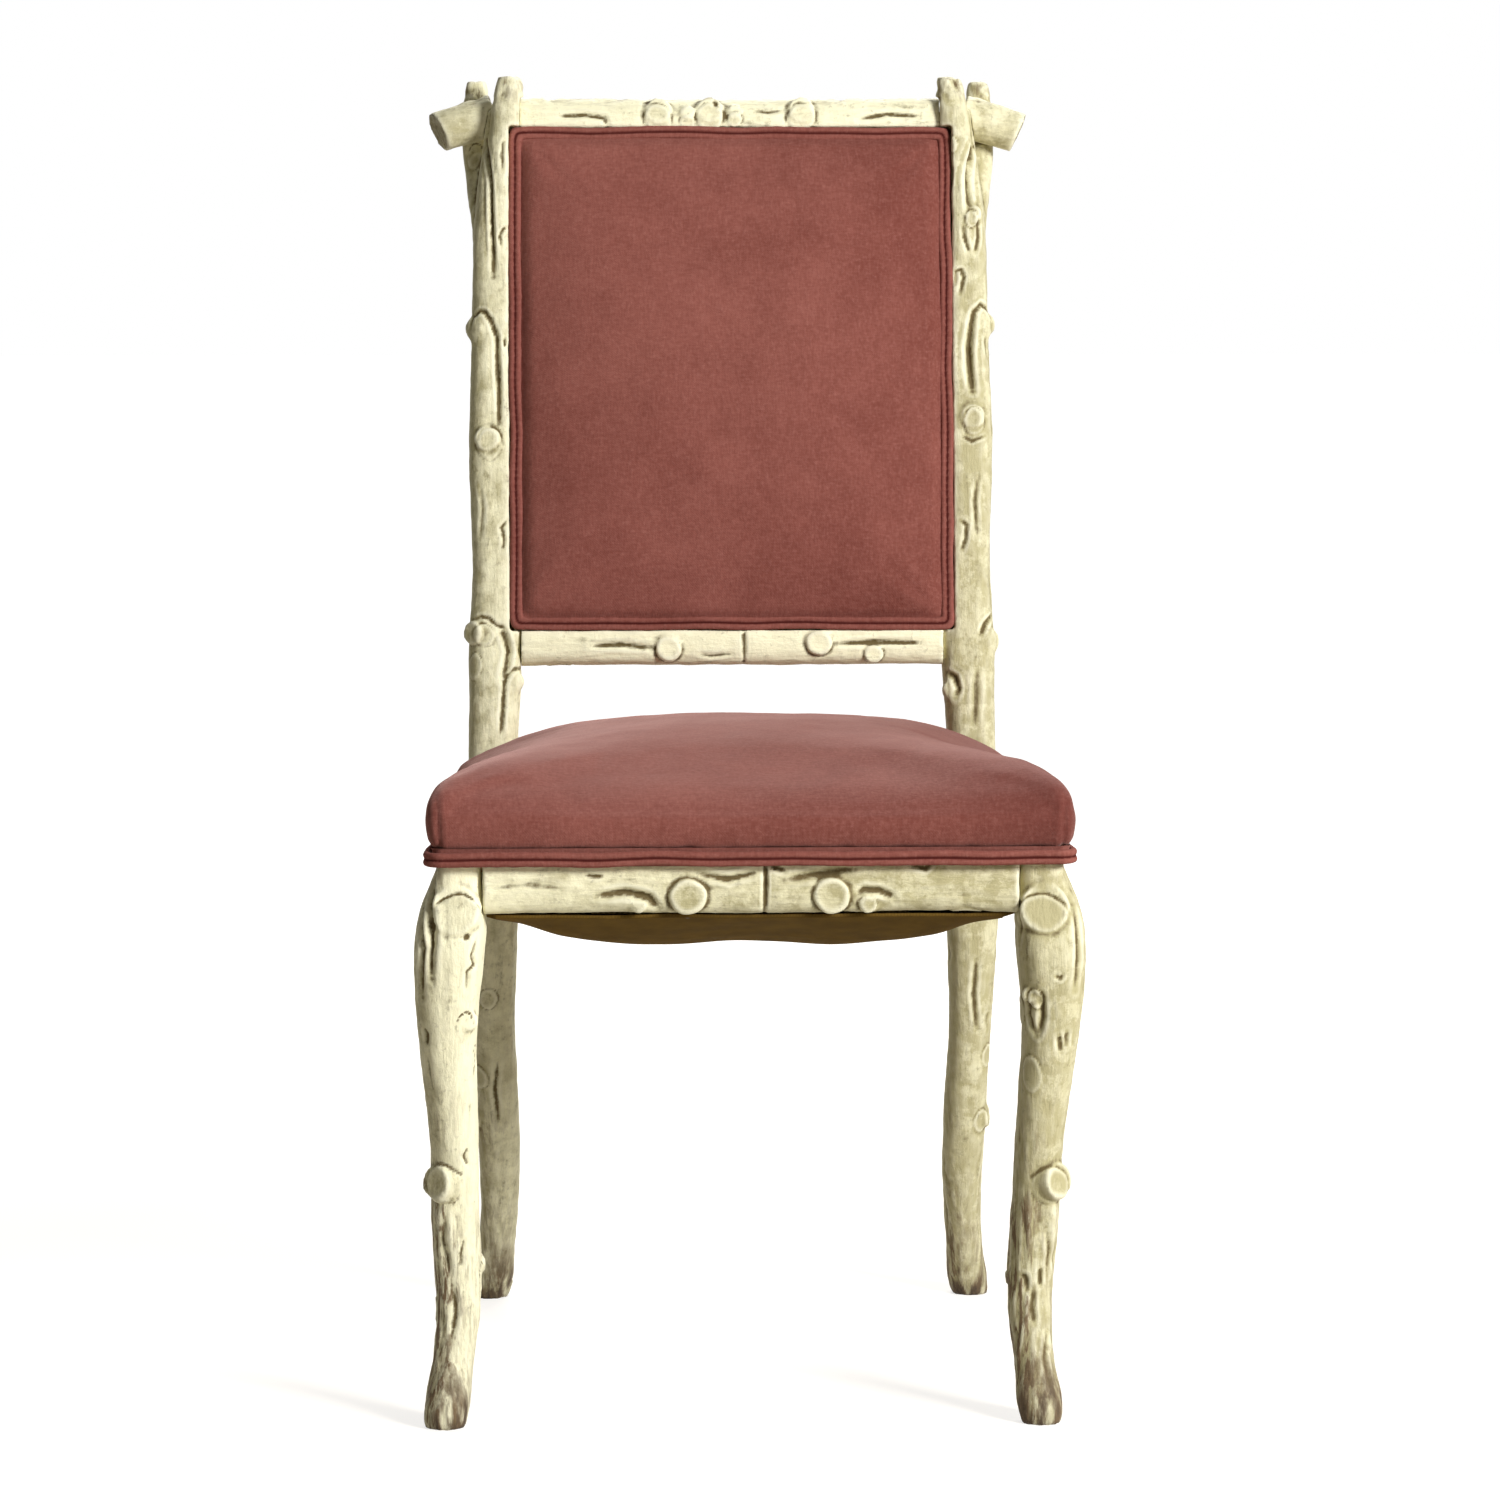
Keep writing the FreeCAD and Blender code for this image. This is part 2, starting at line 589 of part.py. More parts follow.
screws = [
    screw
    for at_front in (True, False)
    for side in (-1, 1)
    for screw, access in block_screws(at_front, side)
]


# Rounded outlines for the upholstery

def rounded_outline(corners, radius, plane):
    """A closed wire of lines and corner arcs through the given corners, which plane turns into points."""
    edges = []
    count = len(corners)
    starts, ends, mids = [], [], []
    for i in range(count):
        here = Vector(*corners[i], 0)
        before = (Vector(*corners[i - 1], 0) - here).normalize()
        after = (Vector(*corners[(i + 1) % count], 0) - here).normalize()
        half = before.getAngle(after) / 2
        starts.append(here + before * (radius / math.tan(half)))
        ends.append(here + after * (radius / math.tan(half)))
        inward = (before + after).normalize()
        mids.append(here + inward * (radius / math.sin(half) - radius))
    for i in range(count):
        arc = Part.Arc(plane(starts[i]), plane(mids[i]), plane(ends[i]))
        edges.append(arc.toShape())
        edges.append(Part.makeLine(plane(ends[i]), plane(starts[(i + 1) % count])))
    return Part.Wire(edges)


def seat_outline(z, inset, corner=SEAT_CORNER):
    """The cushion's outline in plan, drawn in by inset, at height z."""
    slope = (SEAT_HALF_FRONT - SEAT_HALF_REAR) / (SEAT_REAR - SEAT_FRONT)
    front, rear = SEAT_FRONT + inset, SEAT_REAR - inset
    half_front = SEAT_HALF_FRONT - inset - inset * slope
    half_rear = SEAT_HALF_REAR - inset + inset * slope
    corners = (
        (-half_front, depth(front)),
        (half_front, depth(front)),
        (half_rear, depth(rear)),
        (-half_rear, depth(rear)),
    )
    radius = max(corner - inset * 0.9, 5.0) if inset < 9 else corner * 0.5 + inset * 0.32
    radius = min(radius, 0.42 * (rear - front))
    return rounded_outline(corners, radius, lambda p: Vector(p.x, p.y, z))


def panel_outline(ahead, inset, corner=PANEL_CORNER):
    """The back panel's outline in the back's frame, drawn in by inset, so far ahead of the post axis."""
    half = PANEL_HALF_X - inset
    low, high = up_back(PANEL_LOW_Z) + inset, up_back(PANEL_HIGH_Z) - inset
    corners = ((-half, low), (half, low), (half, high), (-half, high))
    radius = min(corner + inset * 0.25, 0.8 * half)
    return rounded_outline(corners, radius, lambda p: Vector(p.x, -ahead, p.y))


def slab(outline, direction):
    return Part.Face(outline).extrude(direction)


# Seat: webbing, springs, hessian, padding, cover, welt and dust cover

SEAT_PROFILE = (
    # z, drawn in from the widest line: a drawn-in skirt, full sides, then the crown
    (SKIRT_Z, SKIRT_INSET),
    (RAIL_TOP_Z, 6.2),
    (457.0, 1.5),
    (468.0, 0.0),
    (478.5, 2.5),
    (487.0, 11.0),
    (494.0, 29.0),
    (501.0, 57.0),
    (509.0, 95.0),
    (516.0, 140.0),
    (SEAT_CROWN_Z, 196.0),
)
CAVITY_PROFILE = ((RAIL_TOP_Z + 0.2, 47.0), (462.0, 60.0), (476.0, 92.0), (485.0, 140.0), (488.0, 190.0))
HESSIAN_THICK = 1.2
DUST_RIM_Z = RAIL_BOTTOM_Z - 3.4
DUST_RIM = (18.0, 31.0)
DUST_THICK = 1.2
DUST_PROFILE = (
    # z of the underside, drawn in from the seat's widest line
    (DUST_RIM_Z + DUST_THICK - 0.2, 29.5),
    (390.5, 37.0),
    (385.5, 52.0),
    (380.0, 70.0),
    (368.0, 106.0),
    (357.5, 148.0),
    (353.0, 192.0),
)


def dome(profile):
    return Part.makeLoft([seat_outline(z, inset) for z, inset in profile], True, True)


def post_notches(z_low, z_high, margin):
    """Clearance for the two rear posts through the seat's soft pieces."""
    return [
        box(
            (side * 225 - 48 - margin, depth(POST_FRONT - 2.5 - margin), z_low),
            (side * 225 + 48 + margin, depth(SEAT_REAR + 40), z_high),
        )
        for side in (-1, 1)
    ]


def leg_notches(z_low, z_high):
    """Clearance for the two front legs through the dust cover's rim."""
    return [
        box((side * 230 - 31, depth(-40), z_low), (side * 230 + 31, depth(LEG_REAR + 8), z_high))
        for side in (-1, 1)
    ]


def stuffed_form():
    """All that the seat cover wraps above the rails: the cushion drawn in by the cloth's thickness."""
    full_sides = 4
    inner = [(z - CLOTH * (i > full_sides), inset + CLOTH) for i, (z, inset) in enumerate(SEAT_PROFILE)]
    return dome(inner[1:]).cut(post_notches(FAR, FAR * 2, CLOTH))


def seat_padding():
    above_rails = box((-FAR, -FAR, RAIL_TOP_Z + 0.2), (FAR, FAR, FAR * 2))
    return one_solid(stuffed_form().common(above_rails).cut(dome(CAVITY_PROFILE)))


def seat_cover():
    """The top cover: a crowned skin over the padding with a skirt down the faces of the rails."""
    outer = dome(SEAT_PROFILE).cut(post_notches(FAR, FAR * 2, 0.0))
    skirt_height = RAIL_TOP_Z - SKIRT_Z
    inside_skirt = slab(seat_outline(SKIRT_Z - 1, SKIRT_INSET + CLOTH), Z_AXIS * (skirt_height + 1.2))
    return one_solid(outer.cut([inside_skirt, stuffed_form()]))


def hessian():
    """Coarse cloth stretched over the springs, under the padding."""
    lower = [(z - HESSIAN_THICK, inset + HESSIAN_THICK) for z, inset in CAVITY_PROFILE]
    return one_solid(dome(CAVITY_PROFILE).cut(dome(lower)))


SEAT_MID = (SEAT_FRONT + SEAT_REAR) / 2
WEB_HALF_X = 210.0
WEB_HALF_Y = 205.0
STRAP_XS = (-96.0, 0.0, 96.0)
STRAP_YS = (SEAT_MID - 100, SEAT_MID, SEAT_MID + 100)


def sag_z(x, y, sag):
    """Height of the underside of sagging webbing at x and a distance behind the rail face."""
    u, v = x / WEB_HALF_X, (y - SEAT_MID) / WEB_HALF_Y
    return RAIL_BOTTOM_Z - STRAP_THICK - sag * (1 - u * u) * (1 - v * v)


def strap(ends, sag):
    """One webbing strap: a thin band that sags in an arc between two rails."""
    (x0, y0), (x1, y1) = ends
    middle = ((x0 + x1) / 2, (y0 + y1) / 2)
    points = [Vector(x, depth(y), sag_z(x, y, sag)) for x, y in ((x0, y0), middle, (x1, y1))]
    raised = [point + Vector(0, 0, STRAP_THICK) for point in points]
    edges = [
        Part.Arc(*points).toShape(),
        Part.makeLine(points[2], raised[2]),
        Part.Arc(*reversed(raised)).toShape(),
        Part.makeLine(raised[0], points[0]),
    ]
    across = Vector(y1 - y0, x0 - x1, 0).normalize()
    band = Part.Face(Part.Wire(edges))
    band.translate(across * (-STRAP_WIDTH / 2))
    return band.extrude(across * STRAP_WIDTH)


def seat_webbing(lengthwise):
    if lengthwise:
        ends = [((x, SEAT_MID - WEB_HALF_Y), (x, SEAT_MID + WEB_HALF_Y)) for x in STRAP_XS]
        return Part.makeCompound([strap(pair, LOWER_SAG) for pair in ends])
    ends = [((-WEB_HALF_X, y), (WEB_HALF_X, y)) for y in STRAP_YS]
    return Part.makeCompound([strap(pair, UPPER_SAG) for pair in ends])


SPRING_PLACES = (
    # x, behind the rail face, height of the top turn
    (STRAP_XS[0], STRAP_YS[0], 474.5),
    (STRAP_XS[2], STRAP_YS[0], 474.5),
    (STRAP_XS[1], STRAP_YS[1], 484.5),
    (STRAP_XS[0], STRAP_YS[2], 474.5),
    (STRAP_XS[2], STRAP_YS[2], 474.5),
)


def arc_from(start, heading, end):
    """An arc that leaves start along heading and ends at end."""
    chord = end - start
    along = Vector(chord).normalize()
    aside = heading - along * heading.dot(along)
    rise = chord.Length / 2 * math.tan(heading.getAngle(chord) / 2)
    return Part.Arc(start, (start + end) * 0.5 + aside.normalize() * rise, end).toShape()


def biarc(start, heading, end, end_heading):
    """Two arcs from start to end that meet in a common tangent."""
    span, turn = end - start, heading + end_heading
    bend = 2 * (1 - heading.dot(end_heading))
    reach = (math.sqrt(span.dot(turn) ** 2 + bend * span.dot(span)) - span.dot(turn)) / bend
    meet = (start + end + (heading - end_heading) * reach) * 0.5
    return [arc_from(start, heading, meet), arc_from(end, end_heading * -1, meet)]


def seat_spring(x, y, top):
    """A coil spring that stands on the crossing of two straps."""
    foot = sag_z(x, y, UPPER_SAG) + STRAP_THICK + SPRING_WIRE_R + 1.6
    climb = (top - foot) / SPRING_TURNS
    slope = climb / (2 * math.pi * SPRING_R)
    places, headings = [], []
    for quarter in range(4 * SPRING_TURNS + 1):
        angle = quarter * math.pi / 2
        c, s = math.cos(angle), math.sin(angle)
        places.append(Vector(x + SPRING_R * c, depth(y) + SPRING_R * s, foot + climb * quarter / 4))
        headings.append(Vector(-s, c, slope).normalize())
    edges = []
    for i in range(len(places) - 1):
        edges += biarc(places[i], headings[i], places[i + 1], headings[i + 1])
    wire_end = Part.Wire(Part.makeCircle(SPRING_WIRE_R, places[0], headings[0]))
    return Part.Wire(edges).makePipeShell([wire_end], True, False)


def dust_cover():
    """A thin cloth under the seat, tacked to the rails and bellied down by the springs."""
    bowl = dome(DUST_PROFILE)
    raised = bowl.copy()
    raised.translate(Vector(0, 0, DUST_THICK))
    rim = slab(seat_outline(DUST_RIM_Z, DUST_RIM[0]), Vector(0, 0, DUST_THICK))
    rim = rim.cut(slab(seat_outline(DUST_RIM_Z - 1, DUST_RIM[1]), Vector(0, 0, 4)))
    skin = one_solid(bowl.cut(raised)).fuse(rim)
    z_low, z_high = DUST_RIM_Z - 7, DUST_RIM_Z + 4
    return one_solid(skin.cut(post_notches(z_low, z_high, 2.0) + leg_notches(z_low, z_high)))


def dust_cover_tacks():
    """Domed tacks along the rim of the dust cover, driven up into the rails."""
    z = DUST_RIM_Z
    places = [(x, 20.0) for x in (-160.0, -48.0, 48.0, 160.0)]
    places += [(x, SEAT_DEPTH - 4) for x in (-140.0, -48.0, 48.0, 140.0)]
    for side in (-1, 1):
        places += [(side * (side_rail_x(y) - 4), y) for y in (100.0, 190.0, 280.0, 370.0)]
    tacks = []
    for x, y in places:
        seat = Vector(x, depth(y), z)
        head = Part.makeSphere(TACK_HEAD_R * 1.4, seat + Vector(0, 0, TACK_HEAD_R))
        head = head.common(Part.makeCylinder(TACK_HEAD_R * 2, 20, seat, Z_AXIS * -1))
        shank = Part.makeCylinder(0.8, 14.0, seat, Z_AXIS)
        tacks.append(one_solid(head.fuse(shank)))
    return tacks


# Double welts

def welt_profile(middle, side_by_side, normal, radius):
    """Two touching cords as one outline, joined at a narrow waist."""
    reach = radius * 0.92
    waist = math.sqrt(radius**2 - reach**2)
    upper, lower = middle + side_by_side * reach, middle - side_by_side * reach
    left, right = middle - normal * waist, middle + normal * waist
    arcs = (
        Part.Arc(left, upper + side_by_side * radius, right),
        Part.Arc(right, lower - side_by_side * radius, left),
    )
    return Part.Wire([arc.toShape() for arc in arcs])


def seat_welt():
    inset = SKIRT_INSET - SEAT_WELT_R - 0.6
    z = (SKIRT_Z + RAIL_TOP_Z) / 2
    path = seat_outline(z, inset)
    start = Vector(0, depth(SEAT_FRONT + inset), z)
    profile = welt_profile(start, Z_AXIS, Y_AXIS, SEAT_WELT_R)
    cord = start_at(path, start).makePipeShell([profile], True, False)
    return Part.makeCompound(cord.cut(post_notches(SKIRT_Z - 20, RAIL_TOP_Z + 20, 0.0)).Solids)


def start_at(path, start):
    """The same closed path, rebuilt so that it starts at a point in the middle of its straight front."""
    edges = list(path.Edges)
    for i, edge in enumerate(edges):
        if edge.distToShape(Part.Vertex(start))[0] < 1e-6:
            first, last = edge.Vertexes[0].Point, edge.Vertexes[-1].Point
            order = edges[i + 1:] + edges[:i]
            tail = last if order[0].distToShape(Part.Vertex(last))[0] < 1e-6 else first
            head = first if tail is last else last
            return Part.Wire([Part.makeLine(start, tail)] + order + [Part.makeLine(head, start)])
    raise ValueError("the start isn't on the path")


def back_welt(ahead):
    """A double welt round the back panel, flat against the panel's flange."""
    inset = 2 * BACK_WELT_R + 0.2
    path = panel_outline(ahead, inset, PANEL_CORNER)
    start = Vector(0, -ahead, up_back(PANEL_LOW_Z) + inset)
    profile = welt_profile(start, Z_AXIS, Y_AXIS, BACK_WELT_R)
    return to_back(start_at(path, start).makePipeShell([profile], True, False))


# Upholstered back

BACK_CROWN = (
    # ahead of the flange, drawn in from the panel's edge
    (0.0, 11.1),
    (5.0, 11.3),
    (10.0, 14.0),
    (14.5, 24.0),
    (18.0, 44.0),
    (20.8, 78.0),
    (22.4, 120.0),
    (CROWN_RISE, 160.0),
)
FLANGE_TOP = FLANGE_BASE + FLANGE_THICK


def back_crown(shrink):
    """The padded front of the back, closed behind at the flange's base."""
    sections = [(FLANGE_BASE, BACK_CROWN[0][1] + shrink)]
    sections += [(FLANGE_TOP + rise - shrink * (rise > 9), inset + shrink) for rise, inset in BACK_CROWN[1:]]
    return Part.makeLoft([panel_outline(ahead, inset) for ahead, inset in sections], True, True)


def inside_back_cover():
    flange = slab(panel_outline(FLANGE_BASE, 0.3), FRONT * FLANGE_THICK)
    return to_back(one_solid(flange.fuse(back_crown(0.0)).cut(back_crown(CLOTH))))


def outside_back_cover():
    """A stiffened cloth panel that closes the back of the chair."""
    flat = slab(panel_outline(-POST_LEDGE - 0.2, 0.3), Y_AXIS * 2.0)
    return to_back(flat)


def back_webbing(upright):
    low, high = up_back(PANEL_LOW_Z) + 3, up_back(PANEL_HIGH_Z) - 3
    straps = []
    if upright:
        front = -RAIL_LEDGE - STRAP_THICK
        for x in (-105.0, 0.0, 105.0):
            left, right = x - STRAP_WIDTH / 2, x + STRAP_WIDTH / 2
            straps.append(box((left, front, low), (right, -RAIL_LEDGE, high)))
    else:
        reach = PANEL_HALF_X - 2
        for share in (0.17, 0.39, 0.61, 0.83):
            z = low + (high - low) * share - STRAP_WIDTH / 2
            straps.append(box((-reach, -POST_LEDGE - STRAP_THICK, z), (reach, -POST_LEDGE, z + STRAP_WIDTH)))
    return to_back(Part.makeCompound(straps))


# Assembly

tacks = dust_cover_tacks()
parts["left_front_leg"] = front_leg(-1, LEFT_SPLAY, LEFT_LEG_KNOTS)
parts["right_front_leg"] = front_leg(1, RIGHT_SPLAY, RIGHT_LEG_KNOTS)
parts["left_rear_post"] = rear_post(-1, LEFT_POST_KNOTS)
parts["right_rear_post"] = rear_post(1, RIGHT_POST_KNOTS)
parts["left_log_end"] = log_end(-1, parts["left_rear_post"])
parts["right_log_end"] = log_end(1, parts["right_rear_post"])
parts["crest_rail"] = crest_rail()
parts["lower_back_rail"] = lower_back_rail()
parts["front_seat_rail"] = front_seat_rail()
parts["left_side_rail"] = side_rail(-1)
parts["right_side_rail"] = side_rail(1)
parts["rear_seat_rail"] = rear_seat_rail()
for rail in ("front_seat_rail", "left_side_rail", "right_side_rail", "rear_seat_rail"):
    parts[rail] = one_solid(parts[rail].cut(screws + tacks))
for at_front, row in ((True, "front"), (False, "rear")):
    for side, hand in ((-1, "left"), (1, "right")):
        parts[f"{row}_{hand}_corner_block"] = corner_block(at_front, side)
parts["corner_block_screws"] = Part.makeCompound(screws)
parts["front_rail_dowels"] = Part.makeCompound(front_dowels)
parts["rear_rail_dowels"] = Part.makeCompound(rear_dowels)
parts["side_rail_dowels"] = Part.makeCompound(side_dowels)
parts["crest_rail_dowels"] = Part.makeCompound(crest_dowels)
parts["lower_back_rail_dowels"] = Part.makeCompound(lower_dowels)
parts["log_end_dowels"] = Part.makeCompound(log_dowels)
parts["seat_webbing_crosswise"] = seat_webbing(False)
parts["seat_webbing_lengthwise"] = seat_webbing(True)
parts["seat_springs"] = Part.makeCompound([seat_spring(*place) for place in SPRING_PLACES])
parts["seat_hessian"] = hessian()
parts["seat_padding"] = seat_padding()
parts["seat_cover"] = seat_cover()
parts["seat_welt"] = seat_welt()
parts["dust_cover"] = one_solid(dust_cover().cut(tacks))
parts["dust_cover_tacks"] = Part.makeCompound(tacks)
parts["back_webbing_upright"] = back_webbing(True)
parts["back_webbing_crosswise"] = back_webbing(False)
parts["back_padding"] = to_back(back_crown(CLOTH))
parts["inside_back_cover"] = inside_back_cover()
parts["inside_back_welt"] = back_welt(FLANGE_TOP + BACK_WELT_R + 0.1)
parts["outside_back_cover"] = outside_back_cover()
parts["outside_back_welt"] = back_welt(-POST_LEDGE - 2.2 - BACK_WELT_R - 0.1)

os.makedirs("parts", exist_ok=True)
bounds = FreeCAD.BoundBox()
for name, shape in parts.items():
    shape.exportStep(f"parts/{name}.step")
    bounds.add(shape.BoundBox)
    valid = shape.isValid() and all(solid.isClosed() for solid in shape.Solids)
    print(f"{name}: {len(shape.Solids)} solids, {shape.Volume / 1000:.1f} cm3, valid {valid}")
low = (bounds.XMin, bounds.YMin, bounds.ZMin)
high = (bounds.XMax, bounds.YMax, bounds.ZMax)
print("box", [round(value, 2) for value in low], [round(value, 2) for value in high])
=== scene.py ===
import itertools
import json
import math
from collections import namedtuple

import bpy
import numpy as np
from bpy.props import FloatProperty, FloatVectorProperty, PointerProperty
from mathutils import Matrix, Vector


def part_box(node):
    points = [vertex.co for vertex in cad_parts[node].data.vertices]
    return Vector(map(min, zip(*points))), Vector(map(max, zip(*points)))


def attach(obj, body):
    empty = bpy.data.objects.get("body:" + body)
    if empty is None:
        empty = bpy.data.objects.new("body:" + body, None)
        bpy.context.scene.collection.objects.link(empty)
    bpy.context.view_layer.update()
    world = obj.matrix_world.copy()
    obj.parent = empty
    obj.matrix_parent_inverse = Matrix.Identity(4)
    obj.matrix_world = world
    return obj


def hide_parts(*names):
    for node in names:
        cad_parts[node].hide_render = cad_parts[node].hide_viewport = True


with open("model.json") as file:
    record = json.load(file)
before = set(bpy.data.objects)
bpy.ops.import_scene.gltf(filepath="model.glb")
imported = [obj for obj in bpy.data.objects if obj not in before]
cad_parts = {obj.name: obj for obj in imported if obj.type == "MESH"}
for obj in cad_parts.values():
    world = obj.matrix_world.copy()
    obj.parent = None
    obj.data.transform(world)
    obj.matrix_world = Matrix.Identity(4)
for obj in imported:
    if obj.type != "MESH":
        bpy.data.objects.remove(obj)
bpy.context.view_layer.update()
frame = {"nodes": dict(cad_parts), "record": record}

bl_info = {
    "name": "Faux Bois Side Chair",
    "version": (1, 0, 0),
    "blender": (4, 5, 0),
    "location": "3D View > Sidebar > Chair",
    "description": "Dresses the chair's frame with carved, painted branches and upholstery",
    "category": "Object",
}

MM = 0.001
BODY = "root"
LEAN = math.radians(8.63)  # how far the back leans from upright


def srgb(red, green, blue):
    """A linear colour from the 0 to 255 values of a screen colour."""
    parts = [value / 255 for value in (red, green, blue)]
    return tuple(c / 12.92 if c <= 0.04045 else ((c + 0.055) / 1.055) ** 2.4 for c in parts)


# Settings that a user would change

class PaintSettings(bpy.types.PropertyGroup):
    """Finish and carving of the wooden branches."""

    cream: FloatVectorProperty(
        name="Cream paint",
        description="Colour of the paint on open surfaces",
        subtype="COLOR",
        default=srgb(254, 249, 213),
    )
    # Serves both for older patches of paint and as painted shade on left-facing sides and darkened ends.
    aged_and_shaded_cream: FloatVectorProperty(
        name="Aged paint",
        description="Colour of the paint where it has darkened in patches",
        subtype="COLOR",
        default=srgb(186, 178, 136),
    )
    # Serves both as the glazing left in the carving's hollows and as painted shade there.
    glaze_and_shade: FloatVectorProperty(
        name="Glaze",
        description="Colour of the glaze left in the carving's hollows",
        subtype="COLOR",
        default=srgb(102, 88, 56),
    )
    bare_wood: FloatVectorProperty(
        name="Worn wood",
        description="Colour of the worn, dirty wood at the feet",
        subtype="COLOR",
        default=srgb(122, 102, 76),
    )
    voxel: FloatProperty(
        name="Carving grain",
        description="Size of the smallest face that the carving is made of",
        unit="LENGTH",
        default=1.5 * MM,
    )
    bark: FloatProperty(
        name="Bark depth",
        description="Height of the bark's waves",
        unit="LENGTH",
        default=0.45 * MM,
    )


class ClothSettings(bpy.types.PropertyGroup):
    """Finish and fullness of the upholstery."""

    rose: FloatVectorProperty(
        name="Cover cloth",
        description="Main colour of the napped cover cloth",
        subtype="COLOR",
        default=srgb(146, 87, 77),
    )
    # Also serves as painted shade on the seat's front face and in the welts' creases.
    deep_rose: FloatVectorProperty(
        name="Brushed cloth",
        description="Colour of the cloth where its nap lies the other way",
        subtype="COLOR",
        default=srgb(120, 65, 56),
    )
    lining: FloatVectorProperty(
        name="Dust cover",
        description="Colour of the lining cloth under the seat",
        subtype="COLOR",
        default=srgb(116, 90, 38),
    )
    pressure: FloatProperty(
        name="Stuffing pressure",
        description="Pressure that swells the cushions in their cloth simulation",
        default=4.0,
    )
    swell: FloatProperty(
        name="Largest swell",
        description="How far a point of a cushion may move as it swells",
        unit="LENGTH",
        default=3.5 * MM,
    )


class StageSettings(bpy.types.PropertyGroup):
    """Camera and light."""

    camera_place: FloatVectorProperty(
        name="Camera",
        description="Place of the camera",
        subtype="TRANSLATION",
        default=(-0.1422, -4.1535, 0.9239),
    )
    camera_turn: FloatProperty(
        name="Camera azimuth",
        description="Turn of the camera about the upright axis",
        subtype="ANGLE",
        default=math.radians(-2.081),
    )
    camera_tilt: FloatProperty(
        name="Camera elevation",
        description="How far the camera looks down",
        subtype="ANGLE",
        default=math.radians(5.912),
    )
    lens: FloatProperty(
        name="Focal length",
        description="Focal length on a 36 mm sensor, in millimetres",
        default=123.98,
    )


# Blender helpers

def select_nothing():
    bpy.ops.object.select_all(action="DESELECT")


def make_active(piece):
    """Selects one object alone."""
    select_nothing()
    piece.select_set(True)
    bpy.context.view_layer.objects.active = piece


def edit_all(piece):
    """Enters edit mode on a piece with everything selected."""
    make_active(piece)
    bpy.ops.object.mode_set(mode="EDIT")
    bpy.ops.mesh.select_all(action="SELECT")


def leave_edit():
    bpy.ops.object.mode_set(mode="OBJECT")


def copy_of(node, name):
    """A new piece that starts as a merged copy of a CAD node."""
    piece = bpy.data.objects.new(name, frame["nodes"][node].data.copy())
    bpy.context.scene.collection.objects.link(piece)
    piece.data.materials.clear()
    edit_all(piece)
    bpy.ops.mesh.remove_doubles(threshold=0.01 * MM)
    leave_edit()
    return piece


def apply_modifier(piece, kind, **settings):
    """Adds a modifier, sets it up and applies it."""
    make_active(piece)
    modifier = piece.modifiers.new(kind.title(), kind)
    for key, value in settings.items():
        setattr(modifier, key, value)
    bpy.ops.object.modifier_apply(modifier=modifier.name)


def read_points(mesh, attribute="co"):
    """Places or normals of a mesh's vertices, as rows."""
    flat = np.empty(len(mesh.vertices) * 3, dtype=np.float32)
    mesh.vertices.foreach_get(attribute, flat)
    return flat.reshape(-1, 3).astype(float)


def write_points(mesh, points):
    mesh.vertices.foreach_set("co", points.astype(np.float32).ravel())
    mesh.update()


def read_edges(mesh):
    flat = np.empty(len(mesh.edges) * 2, dtype=np.int32)
    mesh.edges.foreach_get("vertices", flat)
    return flat.reshape(-1, 2)


def read_skin(mesh):
    """Places, normals and edges of a mesh."""
    return read_points(mesh), read_points(mesh, "normal"), read_edges(mesh)


def relaxed(values, edges, rounds):
    """Rows of values, each drawn halfway to the mean of its neighbours, several times over."""
    near = np.bincount(edges.ravel(), minlength=len(values)).clip(1)
    first, second = edges[:, 0], edges[:, 1]
    for _ in range(rounds):
        mean = np.empty_like(values)
        for axis in range(values.shape[1]):
            column = values[:, axis]
            total = np.bincount(first, column[second], len(values))
            total += np.bincount(second, column[first], len(values))
            mean[:, axis] = total / near
        values = (values + mean) / 2
    return values


def eased(share):
    """A share of 0 to 1 that starts and ends gently."""
    share = np.clip(share, 0, 1)
    return share * share * (3 - 2 * share)


def bell(distance, width):
    """1 at no distance, falling off gently over a width."""
    return np.exp(-((distance / width) ** 2))


def hollowness(points, normals, edges, rounds):
    """How far each point lies below the mean of the skin round it."""
    return ((relaxed(points, edges, rounds) - points) * normals).sum(axis=1)


NOISE_GAIN = 1.6  # brings the noise to its full range


def noise(points, seed):
    """Smooth noise of about -1 to 1, with one wave to a unit."""
    rng = np.random.default_rng(seed)
    order = rng.permutation(256)
    slopes = rng.normal(size=(256, 3))
    slopes /= np.linalg.norm(slopes, axis=1, keepdims=True)
    cell = np.floor(points).astype(int)
    within = points - cell
    fade = within**3 * (within * (within * 6 - 15) + 10)
    total = np.zeros(len(points))
    for corner in itertools.product((0, 1), repeat=3):
        x, y, z = (cell + corner).T
        pick = order[(order[(order[x & 255] + y) & 255] + z) & 255]
        weight = np.where(corner, fade, 1 - fade).prod(axis=1)
        total += weight * ((within - corner) * slopes[pick]).sum(axis=1)
    return total * NOISE_GAIN


def set_attribute(mesh, name, values):
    made = mesh.attributes.new(name, "FLOAT", "POINT")
    made.data.foreach_set("value", np.asarray(values, dtype=np.float32))


def shade_smooth(piece):
    make_active(piece)
    bpy.ops.object.shade_smooth()


def finish_piece(piece, material, slot, *nodes):
    """Gives a piece its material and its body, and hides the CAD nodes that it stands for."""
    piece.data.materials.clear()
    piece.data.materials.append(material)
    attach(piece, BODY)
    if nodes:
        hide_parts(*nodes)


# Shader expressions

